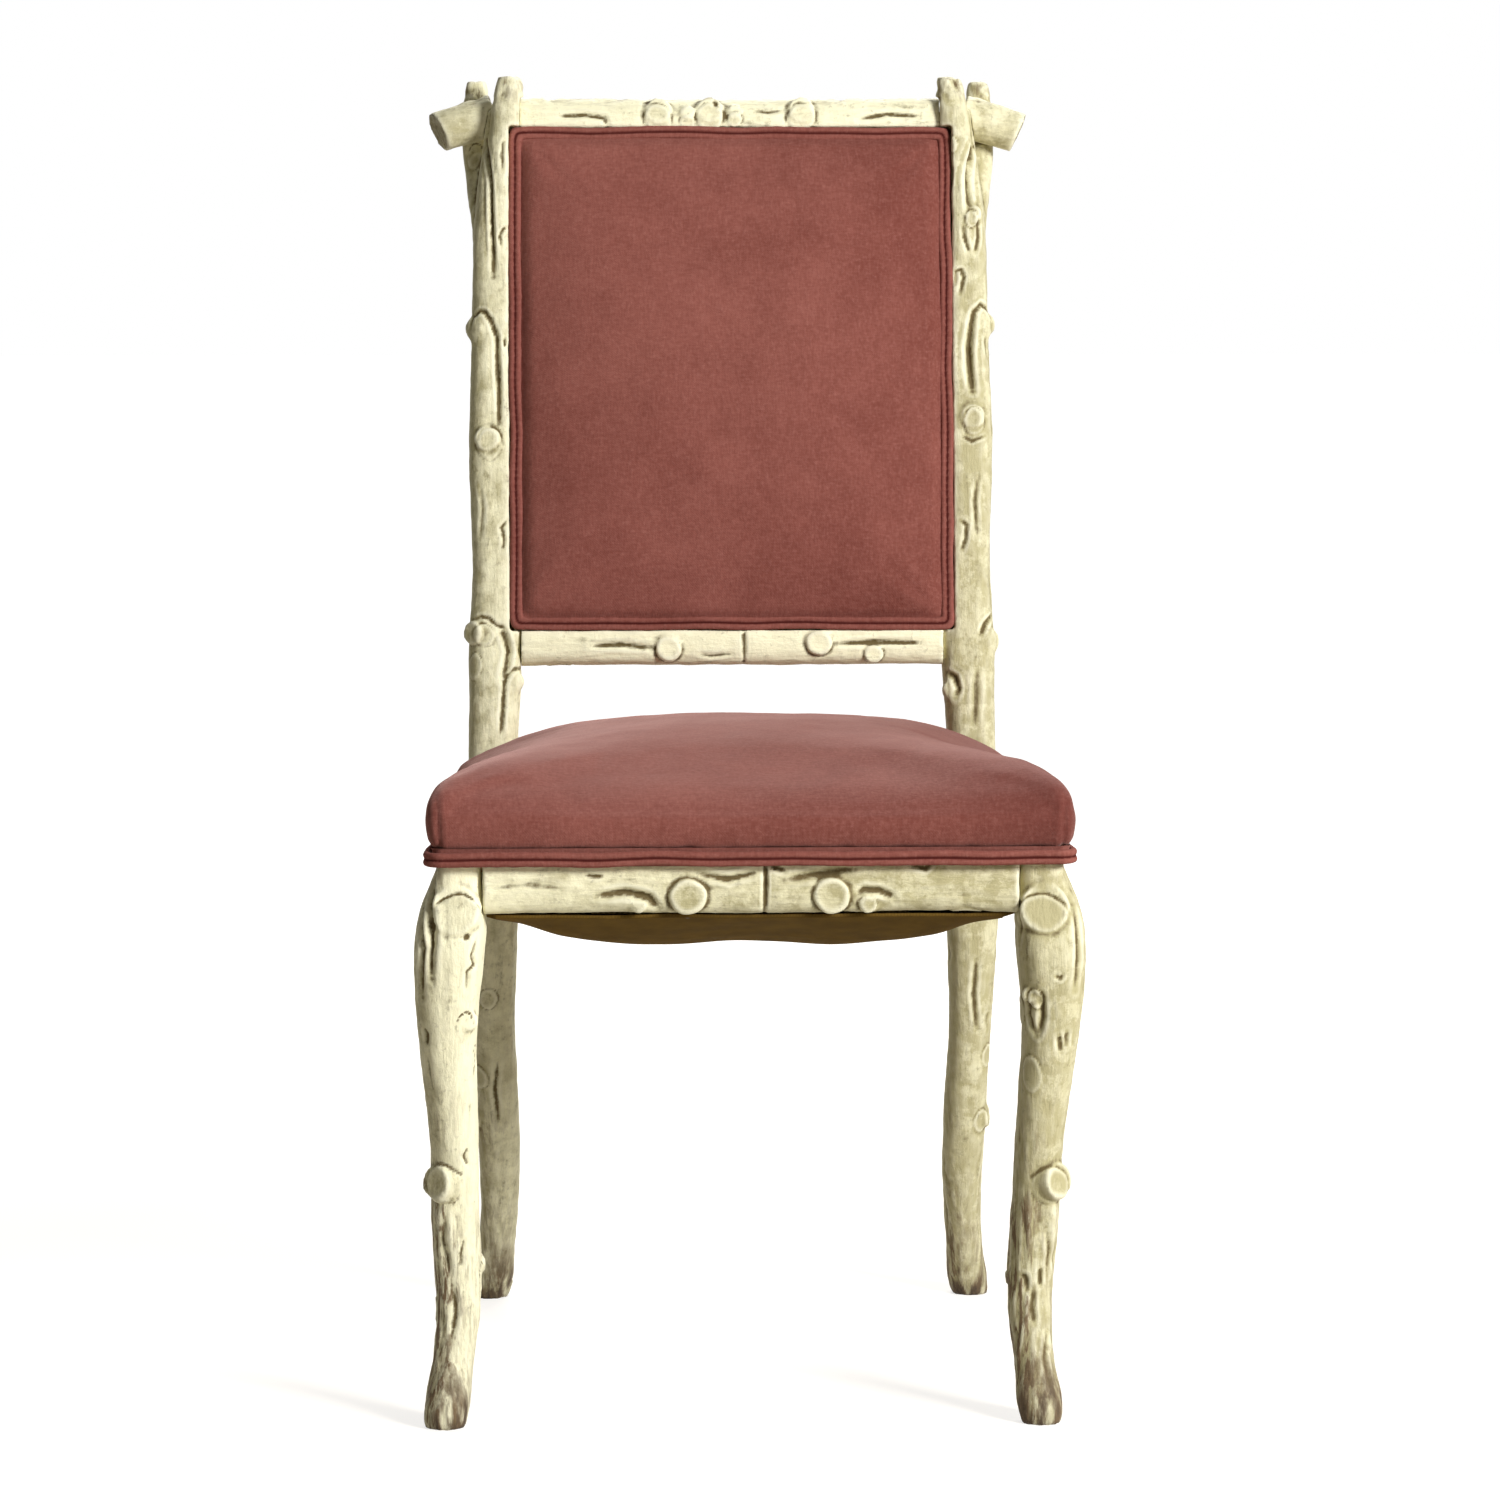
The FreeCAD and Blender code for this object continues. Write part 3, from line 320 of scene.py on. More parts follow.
class Value:
    """A shader socket that takes part in Python arithmetic."""

    def __init__(self, shader, socket):
        self.shader = shader
        self.socket = socket

    def math(self, operation, first, second=0.0):
        return self.shader.node("ShaderNodeMath", {"operation": operation}, {0: first, 1: second})

    def __add__(self, other):
        return self.math("ADD", self, other)

    def __sub__(self, other):
        return self.math("SUBTRACT", self, other)

    def __rsub__(self, other):
        return self.math("SUBTRACT", other, self)

    def __mul__(self, other):
        return self.math("MULTIPLY", self, other)

    __radd__ = __add__
    __rmul__ = __mul__

    def sine(self):
        return self.math("SINE", self)

    def clamp(self):
        return self.ramp(0.0, 1.0)

    def ramp(self, low, high):
        """0 at low and 1 at high, in between in proportion, and no further."""
        limits = {"Value": self, "From Min": low, "From Max": high}
        return self.shader.node("ShaderNodeMapRange", {"clamp": True}, limits)


class Shader:
    """A new material or world, built from node expressions."""

    def __init__(self, name, kind="materials"):
        self.owner = getattr(bpy.data, kind).new(name)
        self.owner.use_nodes = True
        self.tree = self.owner.node_tree
        self.tree.nodes.clear()

    def node(self, kind, settings=None, inputs=None, output=0):
        """Adds a node, sets it up, fills its sockets with values or links, and returns an output."""
        made = self.tree.nodes.new(kind)
        for key, value in (settings or {}).items():
            setattr(made, key, value)
        for key, value in (inputs or {}).items():
            if isinstance(value, Value):
                self.tree.links.new(value.socket, made.inputs[key])
            else:
                made.inputs[key].default_value = value
        return Value(self, made.outputs[output]) if made.outputs else None

    def place(self, scale=(1, 1, 1)):
        """Object coordinates, stretched."""
        coordinates = self.node("ShaderNodeTexCoord", output="Object")
        return self.node("ShaderNodeMapping", {}, {"Vector": coordinates, "Scale": scale})

    def axis(self, place, letter):
        return self.node("ShaderNodeSeparateXYZ", {}, {0: place}, output=letter)

    def rays(self, *kinds):
        """1 for a ray of any of these kinds, and 0 for the others."""
        return sum(self.node("ShaderNodeLightPath", output=kind) for kind in kinds).clamp()

    def noise(self, place, scale, detail, rough):
        inputs = {"Vector": place, "Scale": scale, "Detail": detail, "Roughness": rough}
        return self.node("ShaderNodeTexNoise", {}, inputs)

    def attribute(self, name):
        return self.node("ShaderNodeAttribute", {"attribute_name": name}, output="Fac")

    def blend(self, share, first, second):
        """A colour between two others."""
        colours = [c if isinstance(c, Value) else (*c, 1.0) for c in (first, second)]
        inputs = {0: share, 6: colours[0], 7: colours[1]}
        return self.node("ShaderNodeMix", {"data_type": "RGBA"}, inputs, output=2)

    def bump(self, height, strength, distance):
        inputs = {"Height": height, "Strength": strength, "Distance": distance}
        return self.node("ShaderNodeBump", {}, inputs)

    def surface(self, inputs):
        """Closes the material with a Principled shader."""
        shader = self.node("ShaderNodeBsdfPrincipled", {}, inputs)
        self.node("ShaderNodeOutputMaterial", {}, {"Surface": shader})
        return self.owner


# Finishes

RIDGE_HIGHLIGHT = srgb(250, 246, 218)
FOOT_DIRT = srgb(78, 66, 54)
FOOT_WEAR_Z = 85 * MM
LIT_PILE = srgb(184, 128, 118)
SHADED_PILE = srgb(92, 44, 38)
CREASE_SHADE = srgb(68, 20, 17)
NAP_SHEEN = srgb(226, 186, 178)
# Turn of the weave's wave over one metre, in radians
COVER_THREADS = 3100.0
LINING_THREADS = 2600.0
WEBBING_THREADS = 1500.0
HESSIAN_THREADS = 1900.0


def painted_wood(name, stretch, paint):
    """Aged cream paint: glazing and painted shade in the hollows, painted shade on left-facing sides,
    painted highlights on ridges, and brown bark showing between its flakes.
    """
    shader = Shader(name)
    along = shader.place(stretch)
    plain = shader.place()
    hollow_and_shade = shader.attribute("hollow_and_shade")
    ridge = shader.attribute("ridge")
    rough = shader.attribute("rough")
    age_and_shade = shader.attribute("age_and_shade")
    streaks = shader.noise(along, 95.0, 5.0, 0.62)
    flakes = shader.noise(along, 210.0, 4.0, 0.6)
    fibres = shader.noise(along, 520.0, 3.0, 0.6)
    patches = shader.noise(plain, 48.0, 6.0, 0.7)
    chips = shader.noise(plain, 170.0, 5.0, 0.68)
    height = shader.axis(plain, "Z")
    aged_and_shaded = (patches.ramp(0.44, 0.66) * (age_and_shade * 0.5 + 0.4) + chips.ramp(0.48, 0.66) * 0.18).clamp()
    aged_and_shaded = (aged_and_shaded + streaks.ramp(0.48, 0.70) * 0.3 + age_and_shade * 0.6 - 0.05).clamp()
    # Glazing in the carving's hollows and crevices, deepened there as painted shade.
    glaze_and_shade_mask = (hollow_and_shade * 0.95 + hollow_and_shade.ramp(0.02, 0.3) * chips.ramp(0.40, 0.60) * 0.4).clamp()
    bare = flakes.ramp(0.50, 0.60) * 0.75 + fibres.ramp(0.52, 0.64) * 0.35
    bare = (bare * (rough * 1.5 + hollow_and_shade.ramp(0.05, 0.5) * 0.45 + 0.08)).clamp()
    foot = height.ramp(FOOT_WEAR_Z, 0.0)
    worn = foot * foot * 0.5 + foot * (streaks.ramp(0.42, 0.60) * 1.2 - 0.35) + foot * age_and_shade * 0.06
    worn = worn.clamp()
    cracks = streaks.ramp(0.60, 0.70) * chips.ramp(0.42, 0.58) * 0.55
    colour = shader.blend(aged_and_shaded, tuple(paint.cream), tuple(paint.aged_and_shaded_cream))
    # Painted highlight along the raised ridges of the carving.
    colour = shader.blend((ridge * 0.75).clamp(), colour, RIDGE_HIGHLIGHT)
    colour = shader.blend(bare, colour, tuple(paint.bare_wood))
    colour = shader.blend(glaze_and_shade_mask, colour, tuple(paint.glaze_and_shade))
    colour = shader.blend(worn, colour, tuple(paint.bare_wood))
    colour = shader.blend((worn * foot * flakes.ramp(0.35, 0.6)).clamp(), colour, FOOT_DIRT)
    colour = shader.blend((cracks + chips.ramp(0.60, 0.70) * 0.3).clamp(), colour, tuple(paint.glaze_and_shade))
    relief = streaks * 0.5 + flakes * 0.35 * (rough + 0.4)
    relief = relief + fibres * 0.25 + chips * 0.3 + patches * 0.5
    return shader.surface({
        "Base Color": colour,
        "Roughness": (patches * 0.2 + glaze_and_shade_mask * 0.1 + bare * 0.1 + 0.52).clamp(),
        "Normal": shader.bump(relief, 0.75, 2.4 * MM),
        "Specular IOR Level": 0.22,
    })


def napped_cloth(name, cloth, nap, sheen, spread):
    """Short-pile cover cloth: nap patches, fine fibres and a faint weave, with painted shade where a
    piece marks it.
    """
    shader = Shader(name)
    place = shader.place()
    nap_and_shade = shader.noise(place, 7.5, 3.0, 0.5)
    cloudy = shader.noise(place, 26.0, 4.0, 0.6)
    fibres = shader.noise(place, 900.0, 2.0, 0.6)
    tufts = shader.noise(place, 340.0, 3.0, 0.65)
    threads_across = (shader.axis(place, "X") * COVER_THREADS).sine()
    threads_along = ((shader.axis(place, "Y") + shader.axis(place, "Z")) * COVER_THREADS).sine()
    share = nap_and_shade.ramp(0.36, 0.64) * 0.45 * nap + cloudy.ramp(0.38, 0.66) * 0.35
    # Adds the darkening each piece marks: painted shade on the seat's front face and the welts' creases,
    # and darker towards the right.
    share = (share + shader.attribute("nap_and_shade")).clamp()
    colour = shader.blend(share, tuple(cloth.rose), tuple(cloth.deep_rose))
    slubs = shader.noise(shader.place((0.3, 1.0, 1.0)), 480.0, 3.0, 0.6)
    picks = shader.noise(shader.place((1.0, 0.3, 0.3)), 480.0, 3.0, 0.6)
    grain = (slubs.ramp(0.40, 0.62) * 0.5 + picks.ramp(0.40, 0.62) * 0.5).clamp()
    bright = (tufts.ramp(0.50, 0.70) * 0.14 + grain * 0.13).clamp()
    colour = shader.blend(bright, colour, LIT_PILE)
    dark = ((1.0 - grain) * 0.17 + fibres.ramp(0.56, 0.74) * 0.17).clamp()
    colour = shader.blend(dark, colour, SHADED_PILE)
    # Painted shade in the welts' creases and at the right end of the seat.
    colour = shader.blend(shader.attribute("hollow_and_shade"), colour, CREASE_SHADE)
    relief = tufts * 0.4 + grain * 0.3 + fibres * 0.3 + (threads_across * threads_along) * 0.08
    return shader.surface({
        "Base Color": colour,
        "Roughness": 0.92,
        "Specular IOR Level": 0.12,
        "Sheen Weight": sheen,
        "Sheen Roughness": spread,
        "Sheen Tint": (*NAP_SHEEN, 1.0),
        "Normal": shader.bump(relief, 0.45, 0.9 * MM),
    })


def plain_weave(name, light, dark, threads):
    """Jute or lining cloth with its threads showing."""
    shader = Shader(name)
    place = shader.place()
    across = (shader.axis(place, "X") * threads).sine()
    along = (shader.axis(place, "Y") * threads).sine()
    mottle = shader.noise(place, 40.0, 4.0, 0.6)
    weave = (across * along * 0.5 + 0.5).clamp()
    colour = shader.blend((mottle.ramp(0.35, 0.7) * 0.6 + weave * 0.4).clamp(), light, dark)
    return shader.surface({
        "Base Color": colour,
        "Roughness": 0.95,
        "Specular IOR Level": 0.1,
        "Normal": shader.bump(weave, 0.4, 0.5 * MM),
    })


def plain_wood(name):
    """Planed hardwood for the blocks and dowels inside the frame."""
    shader = Shader(name)
    grain = shader.noise(shader.place((1.0, 1.0, 9.0)), 60.0, 5.0, 0.6)
    colour = shader.blend(grain.ramp(0.35, 0.7), srgb(196, 160, 112), srgb(150, 112, 70))
    return shader.surface({
        "Base Color": colour,
        "Roughness": (grain * 0.2 + 0.5).clamp(),
        "Normal": shader.bump(grain, 0.25, 0.6 * MM),
    })


def steel(name, bright, dark):
    """Wire, screw or tack steel, slightly dulled."""
    shader = Shader(name)
    dull = shader.noise(shader.place(), 260.0, 3.0, 0.6)
    colour = shader.blend(dull.ramp(0.4, 0.7), bright, dark)
    return shader.surface({
        "Base Color": colour,
        "Metallic": 1.0,
        "Roughness": (dull * 0.4 + 0.2).clamp(),
    })


# Carving

# Marks as seen from the front, in millimetres: sawn twigs, knife cuts or raised veins, melted knots
Eye = namedtuple("Eye", "across z radius tall lift", defaults=(1.0, 1.0))
Groove = namedtuple("Groove", "places width depth")
Soft = namedtuple("Soft", "across z radius")

# Height of a sawn twig's face and lip, at shares of its radius
EYE_RIM = (0.0, 0.50, 0.80, 0.94, 1.02, 1.14, 1.36, 1.85)
EYE_RISE = (0.0, 0.20, 0.70, 1.00, 0.50, -0.70, -0.30, 0.0)
EYE_REACH = 1.9
EYE_CUT = 1.6 * MM
GROOVE_REACH = 9 * MM  # how far a cut follows the skin out of its own plane
STEM_CHIPS_Z = 1012 * MM  # the stems are chipped above this height
STEM_CHIPS_FADE = 16 * MM
STEM_CHIP_DEPTH = 3.2 * MM
MELT_ROUNDS = 30
VIEW_DISTANCE = 2.0  # how far in front of the chair a mark is looked for from


class Carver:
    """The skin of one branch: finds places on it and carves it along its normals."""

    def __init__(self, piece, grain):
        self.piece = piece
        self.grain = grain
        self.points, self.normals, self.edges = read_skin(piece.data)
        self.shift = np.zeros(len(self.points))
        self.bark = np.ones(len(self.points))
        bpy.context.view_layer.update()

    def gap(self, place):
        """Distance of each point from a place."""
        return np.linalg.norm(self.points - place, axis=1)

    def find(self, across, z):
        """Place on the skin at a distance across and a height, as seen from the front."""
        start = Vector((across * MM, -VIEW_DISTANCE, z * MM))
        hit, place, _, _ = self.piece.ray_cast(start, Vector((0, 1, 0)))
        if hit:
            return np.array(place)
        aside = np.hypot(self.points[:, 0] - across * MM, self.points[:, 2] - z * MM)
        return self.points[np.where(self.normals[:, 1] < 0, aside, np.inf).argmin()]

    def facing(self, place, reach):
        """Mean direction of the skin round a place."""
        gap = self.gap(place)
        near = gap < reach
        near[gap.argmin()] = True
        mean = self.normals[near].mean(axis=0)
        return mean / np.linalg.norm(mean)

    def ease(self, marks):
        """Melts knots into their branch, to make swellings of them."""
        share = np.zeros(len(self.points))
        for mark in marks:
            if isinstance(mark, Soft):
                gap = self.gap(self.find(mark.across, mark.z))
                share = np.maximum(share, np.clip(2 - 2 * gap / (mark.radius * MM), 0, 1))
        if share.any():
            melted = relaxed(self.points, self.edges, MELT_ROUNDS)
            self.points += (melted - self.points) * share[:, None]
            write_points(self.piece.data, self.points)
            self.normals = read_points(self.piece.data, "normal")

    def carve_eye(self, place, radius, tall, depth, lift):
        """A sawn twig: a dished face with a lip where it stands out, a cut over it where it is flush."""
        face = self.facing(place, radius * 0.6)
        offset = self.points - place
        height = offset @ face
        flat = offset - np.outer(height, face)
        up = self.grain - face * (self.grain @ face)
        up /= np.linalg.norm(up)
        lengthwise = flat @ up
        sideways = flat @ np.cross(face, up)
        ratio = np.hypot(lengthwise / (radius * tall), sideways / radius)
        angle = np.arctan2(sideways, lengthwise)
        turn = place.sum() * 1000
        ratio *= 1 + 0.04 * np.sin(2 * angle + turn) + 0.02 * np.sin(5 * angle + 2 * turn)
        near = (ratio < EYE_REACH) & (np.abs(height) < radius * 0.6 + 4 * MM)
        near &= self.normals @ face > -0.1
        ratio = ratio[near]
        stub = np.interp(ratio, EYE_RIM, EYE_RISE) * depth
        upper = np.clip(0.4 + lengthwise[near] / (radius * tall), 0.1, 1)
        cut = -bell(ratio - 1.04, 0.08) * upper * EYE_CUT
        self.shift[near] += stub * lift + cut * (1 - lift)
        self.bark[near] *= np.interp(ratio, (0.9, 1.2), (0.15, 1.0))

    def carve_groove(self, places, width, depth):
        """A knife cut or a raised vein along a line, tapering to its ends, with rolled lips."""
        face = self.facing(places[len(places) // 2], 4 * MM)
        steps = np.diff(places, axis=0)
        lengths = np.linalg.norm(steps, axis=1)
        done = np.concatenate(([0.0], lengths.cumsum())) / lengths.sum()
        best = np.full(len(self.points), np.inf)
        share = np.zeros(len(self.points))
        for i, (start, step) in enumerate(zip(places, steps)):
            offset = self.points - start
            along = np.clip(offset @ step / (step @ step), 0, 1)
            gap = offset - np.outer(along, step)
            height = gap @ face
            distance = np.linalg.norm(gap - np.outer(height, face), axis=1)
            distance = np.where(np.abs(height) > GROOVE_REACH, np.inf, distance)
            closer = distance < best
            best[closer] = distance[closer]
            share[closer] = done[i] + (done[i + 1] - done[i]) * along[closer]
        near = (best < width * 4) & (self.normals @ face > 0)
        taper = np.sin(np.pi * share[near].clip(0.02, 0.98)) ** 0.5
        ratio = best[near] / width
        cut = -bell(ratio, 1.0) + 0.28 * bell(ratio - 2.0, 0.8)
        cut -= bell(ratio, 3.0) * np.clip(depth / (6 * MM), 0, 0.5)
        self.shift[near] += cut * taper * depth

    def carve(self, marks):
        """Carves the marks of one branch."""
        for mark in marks:
            if isinstance(mark, Eye):
                place = self.find(mark.across, mark.z)
                depth = 0.05 * mark.radius * MM + 0.6 * MM
                self.carve_eye(place, mark.radius * MM, mark.tall, depth, mark.lift)
            elif isinstance(mark, Groove):
                places = np.array([self.find(across, z) for across, z in mark.places])
                self.carve_groove(places, mark.width * MM, mark.depth * MM)

    def carve_at_random(self, toward, count, seed):
        """Small twigs and bark nicks over a side that no mark describes."""
        rng = np.random.default_rng(seed)
        open_side = np.flatnonzero(self.normals @ np.array(toward) > 0.55)
        for i in range(count if len(open_side) else 0):
            place = self.points[rng.choice(open_side)]
            face = self.facing(place, 5 * MM)
            if i % 5 == 0:
                self.carve_eye(place, rng.uniform(5, 9) * MM, rng.uniform(1.1, 1.6), 0.8 * MM, 0.6)
                continue
            length = rng.uniform(14, 38) * MM
            side = np.cross(face, self.grain)
            bow = side * rng.uniform(-0.25, 0.25) * length
            half = self.grain * length / 2
            line = np.array([place - half, place + bow, place + half + bow * 0.4])
            self.carve_groove(line, rng.uniform(1.8, 3.4) * MM, rng.uniform(0.6, 1.4) * MM)

    def add_bark(self, depth, seed, rough_below):
        """Waves that run with the grain, and flaking bark low on a leg, kept off the sawn faces."""
        lengthwise = np.outer(self.points @ self.grain, self.grain)
        sideways = self.points - lengthwise

        def wave(across, along, step):
            """Noise with its own lengths across and along the grain, in millimetres."""
            return noise(sideways / (across * MM) + lengthwise / (along * MM), seed + step)

        waves = wave(13, 46, 0)
        ripple = wave(4, 22, 1)
        flakes = np.tanh(wave(5, 30, 2) * 4)
        patchy = wave(45, 45, 3)
        lumps = wave(17, 17, 4) + wave(8, 8, 5) * 0.45
        low = (rough_below - self.points[:, 2]) / (160 * MM) if rough_below else -0.3
        # Rough bark is weighted to left-facing sides, where its bare-wood colour is partly painted
        # shade.
        flank = np.clip(0.45 - self.normals[:, 0], 0.25, 1.2)
        self.rough = np.clip(low + patchy * 0.8, 0.05, 1) * self.bark * flank
        relief = waves + lumps + ripple * (0.3 + self.rough * 0.5) + flakes * self.rough
        self.shift += relief * depth * self.bark
        top = eased((self.points[:, 2] - STEM_CHIPS_Z) / STEM_CHIPS_FADE)
        chips = np.clip(wave(11, 11, 6) + 0.15, 0, 1)
        self.shift -= top * chips * STEM_CHIP_DEPTH
        self.rough = np.maximum(self.rough, top * (0.25 + chips * 0.5))

    def write(self):
        """Moves the skin and keeps how sunken or raised each point is, for the paint's glazing, painted
        shade and painted highlights.
        """
        moved = self.points + self.normals * self.shift[:, None]
        moved[:, 2] = np.maximum(moved[:, 2], 0)
        mesh = self.piece.data
        write_points(mesh, moved)
        normals = read_points(mesh, "normal")
        fine = hollowness(moved, normals, self.edges, 8)
        broad = hollowness(moved, normals, self.edges, 40)
        hollow_and_shade = fine / (0.62 * MM) + broad / (3.2 * MM)
        set_attribute(mesh, "hollow_and_shade", np.clip(hollow_and_shade - 0.12, 0, 1))
        set_attribute(mesh, "ridge", np.clip(-hollow_and_shade - 0.1, 0, 1))
        set_attribute(mesh, "rough", self.rough)


# Direction of each grain, and how its finish is stretched along it
GRAIN = {
    "across": np.array((1.0, 0, 0)),
    "deep": np.array((0, 1.0, 0)),
    "upright": np.array((0, 0, 1.0)),
}
STRETCH = {
    "across": (0.16, 1.0, 1.0),
    "deep": (1.0, 0.16, 1.0),
    "upright": (1.0, 1.0, 0.16),
}
# Rails whose ends stay square, to close up against the posts or legs
TIGHT_RAILS = ("crest_rail", "lower_back_rail", "front_seat_rail")
SQUARE_END = 9 * MM


def wood_finish(grain):
    """The painted finish for one direction of grain, made once."""
    name = f"painted_wood_{grain}"
    paint = bpy.context.scene.chair_paint
    return bpy.data.materials.get(name) or painted_wood(name, STRETCH[grain], paint)


def carved_branch(node, grain, marks, open_sides, seed, rough_below=0.0, age_and_shade_by_side=(0.1, 0.1)):
    """A carved, painted copy of one wooden CAD node, which it replaces.

    Its two side values darken its paint at its left and at its right; this is partly painted shade, and
    negative values lighten the paint.
    """
    paint = bpy.context.scene.chair_paint
    piece = copy_of(node, f"carved_{node}")
    apply_modifier(piece, "REMESH", mode="VOXEL", voxel_size=paint.voxel)
    sharp = read_points(piece.data)
    apply_modifier(piece, "SMOOTH", factor=0.5, iterations=5)
    if node in TIGHT_RAILS:
        smooth = read_points(piece.data)
        reach = np.abs(sharp[:, 0])
        inner = eased((reach.max() - reach) / SQUARE_END)
        write_points(piece.data, sharp + (smooth - sharp) * inner[:, None])
    carver = Carver(piece, GRAIN[grain])
    carver.ease(marks)
    carver.carve(marks)
    for i, (toward, count) in enumerate(open_sides):
        carver.carve_at_random(toward, count, seed + 10 * i)
    carver.add_bark(paint.bark, seed, rough_below)
    carver.write()
    across = carver.points[:, 0]
    # Painted shade on left-facing sides, on top of the per-side darkening; sawn twig faces get a tan
    # tint.
    flank = np.clip(-carver.normals[:, 0] - 0.1, 0, 1)
    age_and_shade = np.interp(across, (across.min(), across.max()), age_and_shade_by_side)
    set_attribute(piece.data, "age_and_shade", age_and_shade + flank * 1.1 + (1 - carver.bark) * 0.4)
    shade_smooth(piece)
    finish_piece(piece, wood_finish(grain), "painted_wood", node)
    return piece


LEFT = (-1, 0, 0)
RIGHT = (1, 0, 0)
REAR = (0, 1, 0)
UNDER = (0, 0, -1)
LEG_BARK_Z = 260 * MM  # bark flakes below this height
POST_BARK_Z = 120 * MM

LEFT_LEG_MARKS = (
    Eye(-223.1, 397.4, 18.5, 0.85, 0.1),
    Groove(((-218, 381), (-213, 382)), 1.8, 1.6),
    Groove(((-208, 380), (-212, 367), (-210, 360), (-215, 355), (-216, 340)), 1.8, 1.5),
    Eye(-217.4, 311.7, 6.5, 1.7, 0.3),
    Groove(((-241, 430), (-243, 416), (-244, 399), (-243, 377), (-243, 350)), 3.0, 4.0),
    Groove(((-251, 420), (-251, 398), (-250, 373), (-250, 335)), 2.6, 3.0),
    Groove(((-249, 311), (-247, 306), (-247, 297)), 2.0, 1.8),
    Eye(-237.8, 189.5, 13.0, 1.05, 0.5),
    Groove(((-236, 180), (-236, 163), (-232, 140)), 6.0, -2.6),
    Groove(((-216, 217), (-219, 210), (-216, 203)), 1.6, 1.4),
    Groove(((-219, 145), (-222, 134), (-222, 123)), 1.8, 1.4),
    Groove(((-233, 168), (-235, 145), (-232, 118)), 2.4, 1.8),
    Groove(((-228, 108), (-226, 90), (-230, 66)), 2.2, 1.6),
)
RIGHT_LEG_MARKS = (
    Eye(220.5, 397.0, 18.5, 0.82, 0.1),
    Eye(215.5, 331.0, 5.5, 1.3),
    Groove(((220, 335), (221, 318), (218, 303)), 2.4, 2.6),
    Groove(((209, 333), (211, 318), (216, 302)), 2.2, 1.8),
    Groove(((234.5, 302), (236, 290)), 2.0, 2.4),
    Groove(((240, 305), (239.5, 293)), 1.8, 1.6),
    Groove(((245, 402), (248, 375), (246, 338)), 2.4, 2.0),
    Groove(((230, 350), (234, 348), (236, 351)), 1.6, 1.4),
    Eye(232.8, 184.6, 13.5, 1.05, 0.5),
    Groove(((233, 174), (233, 158), (229, 138)), 6.0, -2.6),
    Groove(((223, 119), (222.5, 106)), 1.8, 2.4),
    Groove(((207, 114), (211, 112), (213, 100)), 2.0, 1.8),
    Groove(((217, 104), (216, 88), (218, 76)), 2.0, 1.6),
    Groove(((227, 150), (230, 130), (227, 112)), 2.2, 1.6),
    Groove(((228, 70), (226, 50), (229, 30)), 2.0, 1.4),
)
LEFT_POST_MARKS = (
    Soft(-212, 829, 26),
    Soft(-184, 536, 20),
    Eye(-216, 974, 6.0, 1.9, 0.4),
    Groove(((-206, 987), (-204, 972), (-202, 949), (-201, 922), (-200, 899), (-199, 872)), 1.9, 3.4),
    Groove(((-187, 914), (-191, 912), (-194, 906), (-192, 898)), 1.4, 1.4),
    Groove(((-187, 988), (-191, 984), (-192, 974), (-191, 960)), 1.4, 1.2),
    Groove(((-219, 829), (-217, 839), (-211, 844), (-206, 843), (-203, 835)), 1.6, 1.6),
    Groove(((-208, 843), (-202, 837), (-197, 823), (-196, 797), (-195, 773), (-195, 750)), 1.9, 3.0),
    Groove(((-190, 821), (-190, 814)), 1.3, 1.6),
    Eye(-203, 734, 9.8, 1.35, 0.5),
    Groove(((-212, 700), (-209, 680), (-211, 655)), 1.8, 1.0),
    Groove(((-188, 670), (-193, 664), (-191, 654), (-192, 645)), 1.5, 1.6),
    Eye(-208, 575, 8.1, 1.1, 0.6),
    Groove(((-217, 587), (-211, 590), (-205, 589), (-198, 583), (-189, 580)), 1.4, 1.4),
    Groove(((-194, 580), (-189, 569), (-187, 561), (-189, 549), (-192, 537)), 2.8, 4.2),
    Groove(((-192, 532), (-189, 540), (-183, 546), (-176, 546)), 1.5, 1.6),
    Groove(((-191, 535), (-192, 520), (-194, 494)), 1.8, 2.6),
    Eye(-206, 268, 7.0, 1.2, 0.7),
    Groove(((-198, 215), (-201, 190), (-198, 160)), 2.0, 1.6),
)
RIGHT_POST_MARKS = (
    Soft(215, 830, 26),
    Soft(217, 566, 26),
    Soft(188, 527, 20),
    Groove(((205, 972), (206, 980), (211, 985), (217, 985), (222, 980)), 1.5, 1.5),
    Groove(((206, 983), (203, 969), (201, 955), (201, 940), (202, 929)), 2.8, 4.5),
    Eye(187, 983, 3.6, 1.9, 0.5),
    Eye(203, 921, 5.0, 1.3),
    Groove(((209, 919), (209, 905), (206, 893)), 1.7, 1.7),
    Groove(((196, 916), (197, 905), (201, 893)), 1.7, 1.7),
    Groove(((189, 866), (189, 877), (194, 878), (196, 872), (193, 858)), 1.5, 1.7),
    Groove(((202, 833), (205, 843), (211, 849), (216, 846), (220, 839)), 1.8, 2.0),
    Groove(((205, 843), (202, 828), (200, 811), (201, 793), (203, 777)), 2.6, 4.2),
    Eye(204, 752, 7.9, 1.5, 0.5),
    Groove(((195, 739), (202, 735), (213, 739)), 1.3, 1.2),
    Groove(((207, 705), (204, 685), (206, 655)), 1.8, 1.2),
    Groove(((192, 669), (197, 665), (196, 653), (193, 644)), 1.5, 1.6),
    Groove(((219, 589), (213, 583), (208, 574)), 2.0, 2.4),
    Groove(((206, 548), (204, 533), (204, 519), (203, 495)), 3.0, 1.4),
    Groove(((180, 542), (186, 538), (189, 529), (187, 522)), 2.2, 3.0),
    Eye(212, 158, 8.0, 1.2, 0.6),
    Groove(((205, 300), (203, 270), (206, 240)), 2.0, 1.6),
)
